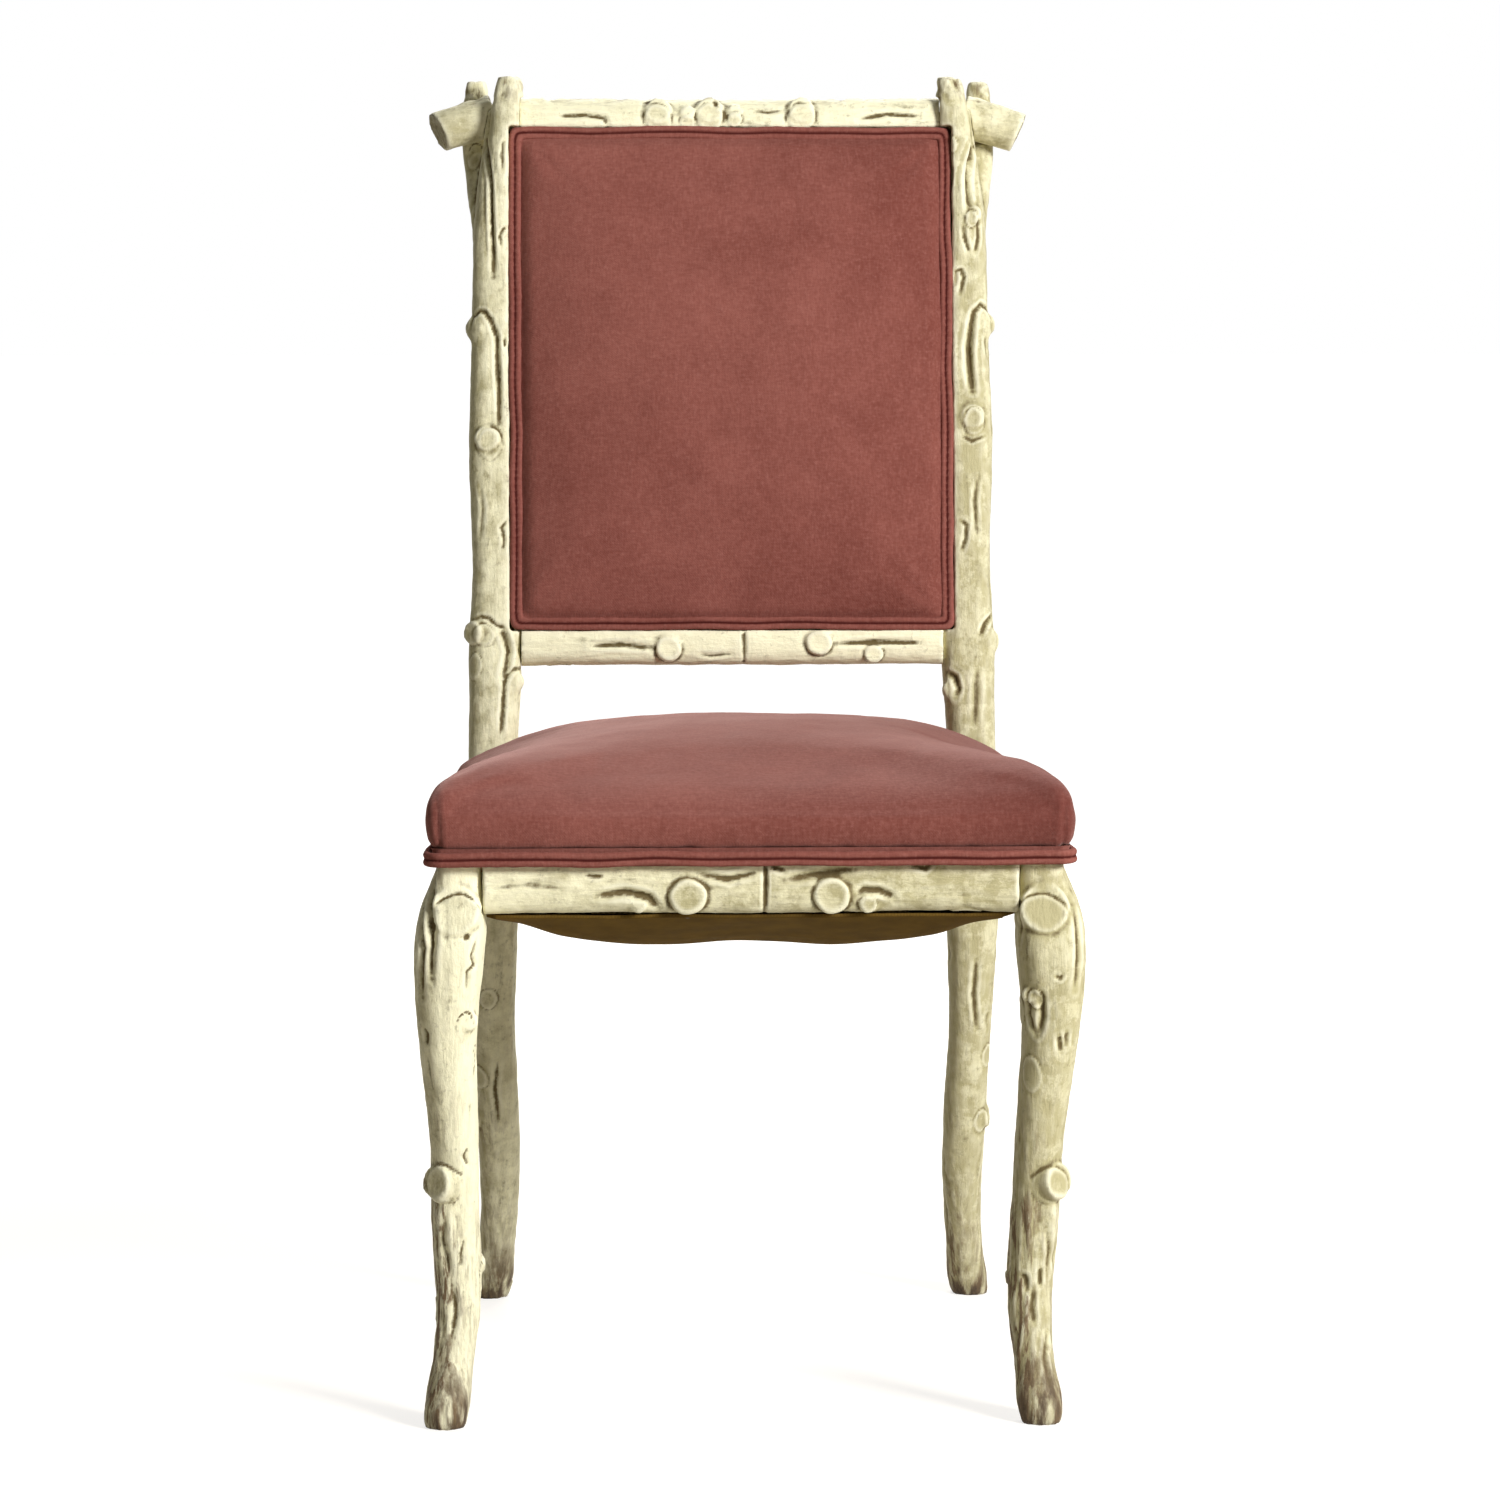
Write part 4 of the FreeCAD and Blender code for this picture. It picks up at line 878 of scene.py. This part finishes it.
FRONT_RAIL_MARKS = (
    Eye(-48.1, 410.0, 13.5, 1.0, 0.7),
    Eye(61.0, 410.5, 13.5, 1.0, 0.7),
    Groove(((80, 411), (86, 415), (97, 414), (108, 409)), 2.6, 2.6),
    Eye(88.4, 403.5, 6.5, 1.0, 0.7),
    Groove(((-116, 411), (-96, 414), (-78, 410), (-71, 401)), 2.8, 3.0),
    Groove(((-110, 404), (-94, 405), (-80, 404)), 4.5, -1.6),
    Groove(((10.2, 445), (10.7, 420), (10.0, 397)), 1.5, 2.8),
    Groove(((-126, 427), (-112, 426)), 1.8, 1.4),
    Groove(((12, 440), (18, 432), (26, 430)), 1.8, 1.8),
    Groove(((26, 423), (50, 427), (78, 431)), 3.2, 2.0),
    Groove(((-40, 428), (-18, 423.5), (6, 429)), 2.6, 2.0),
    Groove(((120, 434), (132, 431), (138, 437)), 1.8, 1.8),
    Groove(((116, 410), (146, 412), (176, 409)), 3.0, 0.8),
    Groove(((-194, 418), (-169, 420), (-144, 417)), 3.0, 0.8),
)
LOWER_RAIL_MARKS = (
    Eye(-53.7, 562.2, 10.0, 1.0, 0.7),
    Groove(((-119, 564.8), (-95, 566), (-66, 563)), 2.4, 2.2),
    Groove(((9.3, 577), (9.7, 563), (9.2, 549)), 1.4, 2.2),
    Eye(72.4, 566.9, 10.0, 1.0, 0.7),
    Groove(((88, 566), (120, 568), (158, 566.8)), 2.2, 2.0),
    Eye(118.6, 557.5, 7.5, 1.0, 0.7),
    Groove(((-30, 558), (-18, 556), (0, 558)), 1.8, 1.2),
)
CREST_MARKS = (
    Eye(-60.7, 1005.0, 11.0, 1.0, 0.7),
    Eye(-35.5, 1002.0, 6.0, 1.0, 0.7),
    Eye(-17.0, 1006.0, 11.0, 1.0, 0.7),
    Eye(4.0, 1004.0, 6.0, 1.0, 0.7),
    Eye(60.4, 1006.0, 11.0, 1.0, 0.7),
    Groove(((-142, 1007), (-122, 1008), (-106, 1005), (-103, 998)), 2.2, 2.0),
    Groove(((108, 1004), (132, 1009), (160, 1007)), 2.2, 2.0),
    Groove(((-12.8, 1020), (-12, 1014)), 1.6, 1.8),
    Groove(((20, 1012), (32, 1010), (44, 1012)), 1.8, 1.2),
)


class CHAIR_OT_front_legs(bpy.types.Operator):
    """Carve and paint the two front legs"""

    bl_idname = "chair.front_legs"
    bl_label = "Front Legs"

    def execute(self, context):
        sides = ((LEFT, 8), (REAR, 9), (RIGHT, 7))
        # The right front leg is painted darker than the left.
        carved_branch("left_front_leg", "upright", LEFT_LEG_MARKS, sides, 11, LEG_BARK_Z, (-0.1, -0.4))
        carved_branch("right_front_leg", "upright", RIGHT_LEG_MARKS, sides, 12, LEG_BARK_Z, (1.1, 1.2))
        return {"FINISHED"}


class CHAIR_OT_rear_posts(bpy.types.Operator):
    """Carve and paint the two rear posts"""

    bl_idname = "chair.rear_posts"
    bl_label = "Rear Posts"

    def execute(self, context):
        sides = ((LEFT, 14), (REAR, 16), (RIGHT, 14))
        # The right post is painted darker than the left.
        carved_branch("left_rear_post", "upright", LEFT_POST_MARKS, sides, 21, POST_BARK_Z, (0.4, 0.3))
        carved_branch("right_rear_post", "upright", RIGHT_POST_MARKS, sides, 22, POST_BARK_Z, (1.1, 1.1))
        return {"FINISHED"}


class CHAIR_OT_rails(bpy.types.Operator):
    """Carve and paint the crest, the lower back rail, the seat rails and the log ends"""

    bl_idname = "chair.rails"
    bl_label = "Rails and Log Ends"

    def execute(self, context):
        # Side values: the right-hand pieces are painted darker, the left log end's outer end is painted
        # shade, and negative values lighten the crest and the lower back rail, the rail as painted light
        # where the cushion shades it.
        carved_branch("crest_rail", "across", CREST_MARKS, ((REAR, 14),), 31, age_and_shade_by_side=(-0.3, -0.2))
        sides = ((REAR, 12), (UNDER, 5))
        carved_branch("lower_back_rail", "across", LOWER_RAIL_MARKS, sides, 32, age_and_shade_by_side=(-0.8, -0.7))
        carved_branch("front_seat_rail", "across", FRONT_RAIL_MARKS, ((UNDER, 6),), 33, age_and_shade_by_side=(0.0, 1.2))
        carved_branch("rear_seat_rail", "across", (), ((REAR, 14),), 34)
        carved_branch("left_side_rail", "deep", (), ((LEFT, 16),), 35)
        carved_branch("right_side_rail", "deep", (), ((RIGHT, 16),), 36)
        sides = ((REAR, 2),)
        self.paint_end_shade(carved_branch("left_log_end", "across", (), sides, 37, age_and_shade_by_side=(1.3, 0.2)))
        self.paint_end_shade(carved_branch("right_log_end", "across", (), sides, 38, age_and_shade_by_side=(0.4, 0.6)))
        return {"FINISHED"}

    def paint_end_shade(self, log):
        """Darkens the sawn ends of a log inside its ring of bark, as painted shade."""
        facing = np.abs(read_points(log.data, "normal")[:, 0])
        hollow_and_shade = log.data.attributes["hollow_and_shade"]
        values = np.empty(len(facing), dtype=np.float32)
        hollow_and_shade.data.foreach_get("value", values)
        values += 0.4 * eased((facing - 0.66) / 0.22)
        hollow_and_shade.data.foreach_set("value", values.clip(0, 1).astype(np.float32))


# Upholstery

SWELL_FRAMES = 20
PINNED_EDGE = 16 * MM  # the rim of the inside back that the stuffing doesn't move
SEAT_PINNED = 26 * MM  # the foot of the seat that the stuffing doesn't move
POST_X = 177 * MM  # where the seat is notched for the rear posts
NOTCH = 56 * MM
HEM_RISE = 2.8 * MM
RAY_START = 0.1  # how far off a node the rays for a sheet start
LEAST = 1e-9  # keeps a division from meeting zero


def cloth_finish(name, nap, sheen, spread=0.42):
    """One cover cloth, made once: how strongly its nap patches show, and how strong and how wide its
    sheen is.
    """
    cloth = bpy.context.scene.chair_cloth
    return bpy.data.materials.get(name) or napped_cloth(name, cloth, nap, sheen, spread)


def hull_of(node, name):
    """A closed, filled form round a CAD node."""
    piece = copy_of(node, name)
    edit_all(piece)
    bpy.ops.mesh.convex_hull()
    leave_edit()
    return piece


def cut_away(piece, cutter):
    """Takes one form out of another and deletes the cutter."""
    apply_modifier(piece, "BOOLEAN", operation="DIFFERENCE", solver="EXACT", object=cutter)
    bpy.data.objects.remove(cutter)


def swell(piece, held):
    """Blows a cushion up in a short cloth simulation. Held points stay where they are."""
    cloth_settings = bpy.context.scene.chair_cloth
    start = read_points(piece.data)
    pins = piece.vertex_groups.new(name="held")
    pins.add([int(i) for i in np.flatnonzero(held)], 1.0, "REPLACE")
    modifier = piece.modifiers.new("Cloth", "CLOTH")
    settings = modifier.settings
    settings.quality = 4
    settings.mass = 0.3
    settings.tension_stiffness = 12
    settings.compression_stiffness = 12
    settings.bending_stiffness = 0.6
    settings.vertex_group_mass = "held"
    settings.use_pressure = True
    settings.uniform_pressure_force = cloth_settings.pressure
    settings.effector_weights.gravity = 0
    modifier.collision_settings.use_collision = False
    modifier.point_cache.frame_end = SWELL_FRAMES
    scene = bpy.context.scene
    for number in range(1, SWELL_FRAMES + 1):
        scene.frame_set(number)
    evaluated = piece.evaluated_get(bpy.context.evaluated_depsgraph_get())
    moved = read_points(evaluated.data)
    piece.modifiers.remove(modifier)
    piece.vertex_groups.clear()
    scene.frame_set(1)
    step = moved - start
    length = np.linalg.norm(step, axis=1, keepdims=True).clip(LEAST)
    write_points(piece.data, start + step * np.minimum(1, cloth_settings.swell / length))


def along_lean(points):
    """Distance up the leaning back and distance ahead of it, for points in the chair's frame."""
    up = points[:, 1] * math.sin(LEAN) + points[:, 2] * math.cos(LEAN)
    ahead = -points[:, 1] * math.cos(LEAN) + points[:, 2] * math.sin(LEAN)
    return up, ahead


def push_back(points, distance):
    """Moves points squarely to the rear of the leaning back."""
    points[:, 1] += distance * math.cos(LEAN)
    points[:, 2] -= distance * math.sin(LEAN)


def square_corners(points, radius, growth):
    """Points of a round-cornered panel, its corners drawn out and its edges let out a little."""
    up, _ = along_lean(points)
    middle = (up.min() + up.max()) / 2
    wide = np.abs(points[:, 0]).max() - radius
    tall = (up.max() - up.min()) / 2 - radius
    beside = (np.abs(points[:, 0]) - wide).clip(0)
    above = (np.abs(up - middle) - tall).clip(0)
    reach = np.hypot(beside, above).clip(LEAST)
    draw = ((beside / reach) ** 5 + (above / reach) ** 5).clip(LEAST) ** (-1 / 5) - 1
    out_x = np.sign(points[:, 0]) * (beside * draw + growth * np.clip(beside / radius, 0, 1))
    out_up = np.sign(up - middle) * (above * draw + growth * np.clip(above / radius, 0, 1))
    return points + np.stack([out_x, out_up * math.sin(LEAN), out_up * math.cos(LEAN)], axis=1)


def cushion(piece, voxel, held_where, shape):
    """Remeshes a form, shapes it, swells it, and leaves it fine enough for seams."""
    apply_modifier(piece, "REMESH", mode="VOXEL", voxel_size=voxel)
    apply_modifier(piece, "SMOOTH", factor=0.5, iterations=4)
    shape(piece)
    points = read_points(piece.data)
    held = held_where(points, read_points(piece.data, "normal"))
    swell(piece, held)
    apply_modifier(piece, "SMOOTH", factor=0.5, iterations=2)
    apply_modifier(piece, "SUBSURF", levels=1, render_levels=1)


class CHAIR_OT_seat_cushion(bpy.types.Operator):
    """Stuff the domed seat and sew its front corners"""

    bl_idname = "chair.seat_cushion"
    bl_label = "Seat Cushion"

    def execute(self, context):
        piece = hull_of("seat_cover", "seat_cushion")
        self.trim(piece, keep_above=True)
        cut_away(piece, hull_of("seat_hessian", "spring_hollow"))
        for hand in ("left", "right"):
            cut_away(piece, self.post_notch(hand))
        cushion(piece, 5.0 * MM, self.held, self.shape)
        self.sew(piece)
        skirt = copy_of("seat_cover", "seat_skirt")
        self.trim(skirt, keep_above=False)
        make_active(piece)
        skirt.select_set(True)
        bpy.ops.object.join()
        shade_smooth(piece)
        cloth = cloth_finish("seat_cloth", 0.7, 0.52, 0.5)
        finish_piece(piece, cloth, "cover_cloth", "seat_cover", "seat_padding")
        return {"FINISHED"}

    def trim(self, piece, keep_above):
        """Cuts a form level with the foot of the padding. The skirt that stays below laps over it."""
        lap = 2 * MM
        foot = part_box("seat_padding")[0].z
        cut = foot if keep_above else foot + lap
        edit_all(piece)
        bpy.ops.mesh.bisect(
            plane_co=(0, 0, cut),
            plane_no=(0, 0, 1),
            use_fill=keep_above,
            clear_inner=keep_above,
            clear_outer=not keep_above,
        )
        leave_edit()

    def post_notch(self, hand):
        """A block round a rear post, to keep the cushion clear of it."""
        room = 5 * MM
        low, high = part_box("seat_padding")
        rail_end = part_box(f"{hand}_side_rail")[1].y
        side = -1 if hand == "left" else 1
        select_nothing()
        place = (side * (POST_X + NOTCH), rail_end + NOTCH - room, (low.z + high.z) / 2)
        bpy.ops.mesh.primitive_cube_add(size=2 * NOTCH, location=place)
        block = bpy.context.object
        bpy.ops.object.transform_apply(location=True, rotation=True, scale=True)
        return block

    def held(self, points, normals):
        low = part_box("seat_padding")[0].z
        return (points[:, 2] < low + SEAT_PINNED) | (normals[:, 2] < -0.3)

    def shape(self, piece):
        """Rounds the shoulders into one soft dome, a little fuller on its right."""
        points, normals, edges = read_skin(piece.data)
        low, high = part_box("seat_cover")
        upper = eased((points[:, 2] - low.z - 22 * MM) / (40 * MM)) * (normals[:, 2] > -0.3)
        aside = points[:, 0] / high.x
        left = aside < 0
        forward = eased((low.y + 260 * MM - points[:, 1]) / (240 * MM))
        rear = eased((points[:, 1] + 60 * MM) / (180 * MM))
        corner = eased((np.abs(aside) - 0.45) / 0.5) * forward
        some = relaxed(points, edges, 6)
        more = relaxed(some, edges, 90)
        shift = more + (some - more) * corner[:, None] - points
        drop = (shift[:, 2] * (upper > 0.99))[np.abs(aside) < 0.2].min()
        corner_lift = np.where(left, 4.0, 8.0) * corner
        rear_lift = np.where(left, -5.0, 4.0) * aside**2 * rear
        shift[:, 2] += (corner_lift + rear_lift - 1.0) * MM - drop * 0.4
        shoulder = 2 * np.abs(normals[:, 0]) * np.clip(normals[:, 2], 0, 1) * forward
        shift += normals * (shoulder * np.where(left, 8.0, 6.5) * MM)[:, None]
        write_points(piece.data, points + relaxed(shift * upper[:, None], edges, 10))

    def sew(self, piece):
        """Seams down the front corners, soft dents on top and puckers above the welt."""
        mesh = piece.data
        points, normals, _ = read_skin(mesh)
        low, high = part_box("seat_padding")
        rise = points[:, 2] - low.z
        front = (points[:, 1] < low.y + 40 * MM) & (normals[:, 1] < -0.2)
        shift = noise(points / (70 * MM), 61) * 1.1 * MM * np.clip(normals[:, 2], 0, 1)
        shift += noise(points / (22 * MM), 62) * 0.35 * MM
        pucker = np.array((17, 17, 60)) * MM
        shift += noise(points / pucker, 63) * bell(rise, 16 * MM) * 0.7 * MM
        seam_x = high.x - 9 * MM
        for side in (-1, 1):
            gap = np.abs(points[:, 0] - side * (seam_x + 0.06 * (rise - 20 * MM)))
            reach = np.clip((46 * MM - rise) / (14 * MM), 0, 1)
            cut = -1.5 * bell(gap, 1.6 * MM) + 0.5 * bell(gap - 4.5 * MM, 2.5 * MM)
            shift += np.where(front, cut * reach, 0) * MM
        write_points(mesh, points + normals * shift[:, None])
        # The seat cloth is painted darker towards the right and on its front face, the front as painted
        # shade, and its right end takes the crease shade colour.
        aside = points[:, 0] / high.x
        nap_and_shade = np.clip((aside + 0.2) * 0.8, 0, 1)
        nap_and_shade += np.clip(-normals[:, 1], 0, 1) * (0.5 + 0.3 * aside)
        set_attribute(mesh, "nap_and_shade", np.clip(nap_and_shade, 0, 1.2))
        set_attribute(mesh, "hollow_and_shade", 0.35 * eased((aside - 0.55) / 0.45))


class CHAIR_OT_back_cushion(bpy.types.Operator):
    """Stuff the inside back"""

    bl_idname = "chair.back_cushion"
    bl_label = "Inside Back"

    def execute(self, context):
        piece = hull_of("inside_back_cover", "back_cushion")
        cushion(piece, 4.0 * MM, self.held, self.shape)
        mesh = piece.data
        points, normals, _ = read_skin(mesh)
        shift = noise(points / (85 * MM), 71) * 0.9 * MM + noise(points / (24 * MM), 72) * 0.25 * MM
        write_points(mesh, square_corners(points + normals * shift[:, None], 14 * MM, 0.4 * MM))
        # The inside back is painted darker towards the right.
        set_attribute(mesh, "nap_and_shade", np.clip(points[:, 0] / points[:, 0].max() * 0.5, 0, 1))
        shade_smooth(piece)
        cloth = cloth_finish("back_cloth", 1.0, 0.3)
        finish_piece(piece, cloth, "cover_cloth", "inside_back_cover", "back_padding")
        return {"FINISHED"}

    def held(self, points, normals):
        up, ahead = along_lean(points)
        rim = np.abs(points[:, 0]) > points[:, 0].max() - PINNED_EDGE
        rim |= (up < up.min() + PINNED_EDGE) | (up > up.max() - PINNED_EDGE)
        return rim | (ahead < ahead.min() + 5 * MM)

    def shape(self, piece):
        """Draws the edges of the stuffed back in behind the welt."""
        points = read_points(piece.data)
        up, ahead = along_lean(points)
        inset = np.minimum(up - up.min(), up.max() - up)
        inset = np.minimum(inset, points[:, 0].max() - np.abs(points[:, 0]))
        front = ahead > ahead.min() + 6 * MM
        push_back(points, np.where(front, 5.0 * MM * bell(inset, 13 * MM), 0))
        round_part = (eased((inset - 14 * MM) / (30 * MM)) * front)[:, None]
        points += (relaxed(points, read_edges(piece.data), 90) - points) * round_part
        write_points(piece.data, points)


class CHAIR_OT_welts(bpy.types.Operator):
    """Wrap the double welts round the seat, the inside back and the outside back"""

    bl_idname = "chair.welts"
    bl_label = "Double Welts"

    def execute(self, context):
        for seed, node in enumerate(("seat_welt", "inside_back_welt", "outside_back_welt")):
            piece = copy_of(node, f"corded_{node}")
            apply_modifier(piece, "REMESH", mode="VOXEL", voxel_size=0.95 * MM)
            apply_modifier(piece, "SMOOTH", factor=0.5, iterations=2)
            points, normals, edges = read_skin(piece.data)
            seeds = range(80 + 3 * seed, 83 + 3 * seed)
            sway = np.stack([noise(points / (48 * MM), number) for number in seeds], axis=1)
            lumps = noise(points / (7 * MM), 95 + seed) * 0.22 * MM
            crease = hollowness(points, normals, edges, 6)
            moved = points + sway * 1.25 * MM + normals * lumps[:, None]
            if node != "seat_welt":
                moved = square_corners(moved, 16 * MM, 0.8 * MM)
            write_points(piece.data, moved)
            # Painted shade in the creases between and beside the cords, and a painted highlight along
            # the cords' ridges.
            set_attribute(piece.data, "hollow_and_shade", np.clip(crease / (0.11 * MM) - 0.05, 0, 0.95))
            set_attribute(piece.data, "nap_and_shade", np.clip(0.75 + crease / (0.22 * MM), 0, 1))
            shade_smooth(piece)
            finish_piece(piece, cloth_finish("corded_cloth", 0.5, 0.08), "welt_cloth", node)
        return {"FINISHED"}


def draped_grid(node, name, toward, steps):
    """A fine sheet laid against one side of a thin CAD node: rows of points where a ray meets it."""
    select_nothing()
    bpy.ops.mesh.primitive_grid_add(x_subdivisions=steps, y_subdivisions=steps, size=2)
    piece = bpy.context.object
    piece.name = name
    low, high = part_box(node)
    middle = (low + high) / 2
    half = (high - low) / 2 * 0.9985  # just inside the node's edge
    points = read_points(piece.data)
    missed = np.zeros(len(points), dtype=bool)
    target = frame["nodes"][node]
    for i, (u, v, _) in enumerate(points):
        across = middle.x + u * half.x
        if toward == UNDER:
            start = Vector((across, middle.y + v * half.y, low.z - RAY_START))
        else:
            start = Vector((across, high.y + RAY_START, middle.z + v * half.z))
        hit, place, _, _ = target.ray_cast(start, -Vector(toward))
        missed[i] = not hit
        points[i] = place if hit else start
    write_points(piece.data, points)
    edit_all(piece)
    bpy.ops.mesh.select_all(action="DESELECT")
    leave_edit()
    for i in np.flatnonzero(missed):
        piece.data.vertices[i].select = True
    bpy.ops.object.mode_set(mode="EDIT")
    bpy.ops.mesh.select_mode(type="VERT")
    bpy.ops.mesh.delete(type="VERT")
    leave_edit()
    return piece


class CHAIR_OT_dust_cover(bpy.types.Operator):
    """Hang the lining cloth under the seat"""

    bl_idname = "chair.dust_cover"
    bl_label = "Dust Cover"

    def execute(self, context):
        cloth = context.scene.chair_cloth
        piece = draped_grid("dust_cover", "lining_cloth", UNDER, 150)
        edges = read_edges(piece.data)
        points = relaxed(read_points(piece.data), edges, 6)
        low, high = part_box("dust_cover")
        reach = np.abs(points[:, 0])
        ends = [reach[np.abs(points[:, 1] - y) < 25 * MM].max() for y in (low.y, high.y)]
        aside = reach / np.interp(points[:, 1], (low.y, high.y), ends)
        edge = np.minimum(points[:, 1] - low.y, high.y - points[:, 1])
        fuller = eased(aside / 0.5) * eased((0.94 - aside) / 0.2) * eased(edge / (60 * MM))
        points[:, 2] += noise(points / (45 * MM), 51) * 0.8 * MM - fuller * 5.5 * MM
        corners = np.concatenate([face.vertices for face in piece.data.polygons])
        hem = np.bincount(corners, minlength=len(points)) < 4
        points[hem, 2] += HEM_RISE
        write_points(piece.data, points)
        apply_modifier(piece, "SOLIDIFY", thickness=0.8 * MM, offset=0.0)
        shade_smooth(piece)
        material = plain_weave("lining", tuple(cloth.lining), srgb(84, 64, 28), LINING_THREADS)
        finish_piece(piece, material, "dust_cloth", "dust_cover")
        return {"FINISHED"}


class CHAIR_OT_outside_back(bpy.types.Operator):
    """Stretch the cloth over the rear of the back"""

    bl_idname = "chair.outside_back"
    bl_label = "Outside Back"

    def execute(self, context):
        piece = draped_grid("outside_back_cover", "outside_back_cloth", REAR, 80)
        points = read_points(piece.data)
        low, high = points.min(axis=0), points.max(axis=0)
        u, v = (((points - low) / (high - low) * 2 - 1)[:, axis] for axis in (0, 2))
        bow = (1 - u**2).clip(0) * (1 - v**2).clip(0) * 3.0 * MM
        push_back(points, bow + noise(points / (80 * MM), 55) * 0.5 * MM)
        write_points(piece.data, points)
        apply_modifier(piece, "SOLIDIFY", thickness=1.6 * MM, offset=0.0)
        edit_all(piece)
        bpy.ops.mesh.normals_make_consistent(inside=False)
        leave_edit()
        shade_smooth(piece)
        finish_piece(piece, cloth_finish("back_cloth", 1.0, 0.3), "cover_cloth", "outside_back_cover")
        return {"FINISHED"}


class CHAIR_OT_inner_parts(bpy.types.Operator):
    """Finish the blocks, dowels, webbing, springs and fasteners inside the frame"""

    bl_idname = "chair.inner_parts"
    bl_label = "Inner Parts"

    def execute(self, context):
        finishes = {
            "plain_wood": plain_wood("plain_wood"),
            "webbing": plain_weave("webbing", srgb(190, 166, 122), srgb(120, 98, 62), WEBBING_THREADS),
            "hessian": plain_weave("hessian", srgb(178, 148, 100), srgb(112, 88, 54), HESSIAN_THREADS),
            "steel": steel("steel", srgb(176, 172, 164), srgb(120, 108, 92)),
        }
        shown = {
            "dust_cover_tacks": steel("blued_steel", srgb(52, 46, 38), srgb(34, 28, 22)),
            "log_end_dowels": wood_finish("across"),
        }
        for part in frame["record"]["subparts"]:
            finish = shown.get(part["node"], finishes.get(part["material_slot"]))
            if finish:
                node = frame["nodes"][part["node"]]
                for slot in node.material_slots:
                    slot.link = "OBJECT"
                    slot.material = finish
        return {"FINISHED"}


# Stage

SENSOR = 36.0
FLOOR_SIZE = 60.0
WHITE = (1.0, 1.0, 1.0)
ROOM_LIGHT = (0.11, 0.106, 0.09)


def area_light(name, place, target, size, power):
    """A soft square lamp aimed at a point."""
    lamp = bpy.data.lights.new(name, "AREA")
    lamp.size = size
    lamp.energy = power
    light = bpy.data.objects.new(name, lamp)
    light.location = place
    light.rotation_euler = (Vector(target) - Vector(place)).to_track_quat("-Z", "Y").to_euler()
    bpy.context.scene.collection.objects.link(light)


class CHAIR_OT_stage(bpy.types.Operator):
    """Set up the camera, the floor and the light"""

    bl_idname = "chair.stage"
    bl_label = "Stage"

    def execute(self, context):
        stage = context.scene.chair_stage
        camera = bpy.data.objects.new("camera", bpy.data.cameras.new("camera"))
        camera.data.lens = stage.lens
        camera.data.sensor_width = SENSOR
        camera.location = stage.camera_place
        camera.rotation_euler = (math.pi / 2 - stage.camera_tilt, 0, stage.camera_turn)
        context.scene.collection.objects.link(camera)
        context.scene.camera = camera
        select_nothing()
        bpy.ops.mesh.primitive_plane_add(size=FLOOR_SIZE, location=(0, 0, 0))
        floor = context.object
        floor.name = "floor"
        floor.data.materials.append(self.floor_finish())
        self.light_room(context)
        area_light("key", (2.5, -2.7, 2.1), (0, 0, 0.55), 1.0, 192)
        area_light("fill", (-2.8, -2.6, 1.2), (0, 0, 0.5), 2.4, 3)
        area_light("rim", (0.3, 2.2, 2.8), (0, 0, 0.6), 1.8, 76)
        context.scene.view_settings.view_transform = "Standard"
        return {"FINISHED"}

    def floor_finish(self):
        """A white floor that keeps soft shadows and meets the backdrop without a line."""
        shader = Shader("floor")
        seen = shader.rays("Is Camera Ray", "Is Glossy Ray")
        place = {0: shader.place()}
        distance = shader.node("ShaderNodeVectorMath", {"operation": "LENGTH"}, place, output="Value")
        level = distance.ramp(0.8, 2.6) * 0.3 + 0.74
        body = shader.node("ShaderNodeBsdfDiffuse", {}, {"Color": (0.5, 0.46, 0.4, 1)})
        glow = shader.node("ShaderNodeEmission", {}, {"Color": seen * level})
        both = shader.node("ShaderNodeAddShader", {}, {0: body, 1: glow})
        shader.node("ShaderNodeOutputMaterial", {}, {"Surface": both})
        return shader.owner

    def light_room(self, context):
        """White behind the chair, and an even, weaker light on it."""
        shader = Shader("room", "worlds")
        seen = shader.rays("Is Camera Ray", "Is Glossy Ray", "Is Transmission Ray")
        colour = shader.blend(seen, ROOM_LIGHT, WHITE)
        background = shader.node("ShaderNodeBackground", {}, {"Color": colour})
        shader.node("ShaderNodeOutputWorld", {}, {"Surface": background})
        context.scene.world = shader.owner


class CHAIR_PT_panel(bpy.types.Panel):
    """Lists the chair's operators and settings"""

    bl_label = "Faux Bois Chair"
    bl_idname = "CHAIR_PT_panel"
    bl_space_type = "VIEW_3D"
    bl_region_type = "UI"
    bl_category = "Chair"

    def draw(self, context):
        for group in SETTINGS:
            settings = getattr(context.scene, group)
            for name in settings.bl_rna.properties.keys():
                if name not in ("rna_type", "name"):
                    self.layout.prop(settings, name)
        for operator in OPERATORS:
            self.layout.operator(operator.bl_idname)


SETTINGS = {"chair_paint": PaintSettings, "chair_cloth": ClothSettings, "chair_stage": StageSettings}
OPERATORS = (
    CHAIR_OT_stage,
    CHAIR_OT_front_legs,
    CHAIR_OT_rear_posts,
    CHAIR_OT_rails,
    CHAIR_OT_seat_cushion,
    CHAIR_OT_back_cushion,
    CHAIR_OT_welts,
    CHAIR_OT_dust_cover,
    CHAIR_OT_outside_back,
    CHAIR_OT_inner_parts,
)


def register():
    for cls in (*SETTINGS.values(), *OPERATORS, CHAIR_PT_panel):
        bpy.utils.register_class(cls)
    for name, cls in SETTINGS.items():
        setattr(bpy.types.Scene, name, PointerProperty(type=cls))


def unregister():
    for name in SETTINGS:
        delattr(bpy.types.Scene, name)
    for cls in reversed((*SETTINGS.values(), *OPERATORS, CHAIR_PT_panel)):
        bpy.utils.unregister_class(cls)


def main():
    register()
    for operator in OPERATORS:
        getattr(bpy.ops.chair, operator.bl_idname.split(".")[1])()


if __name__ == "__main__":
    main()
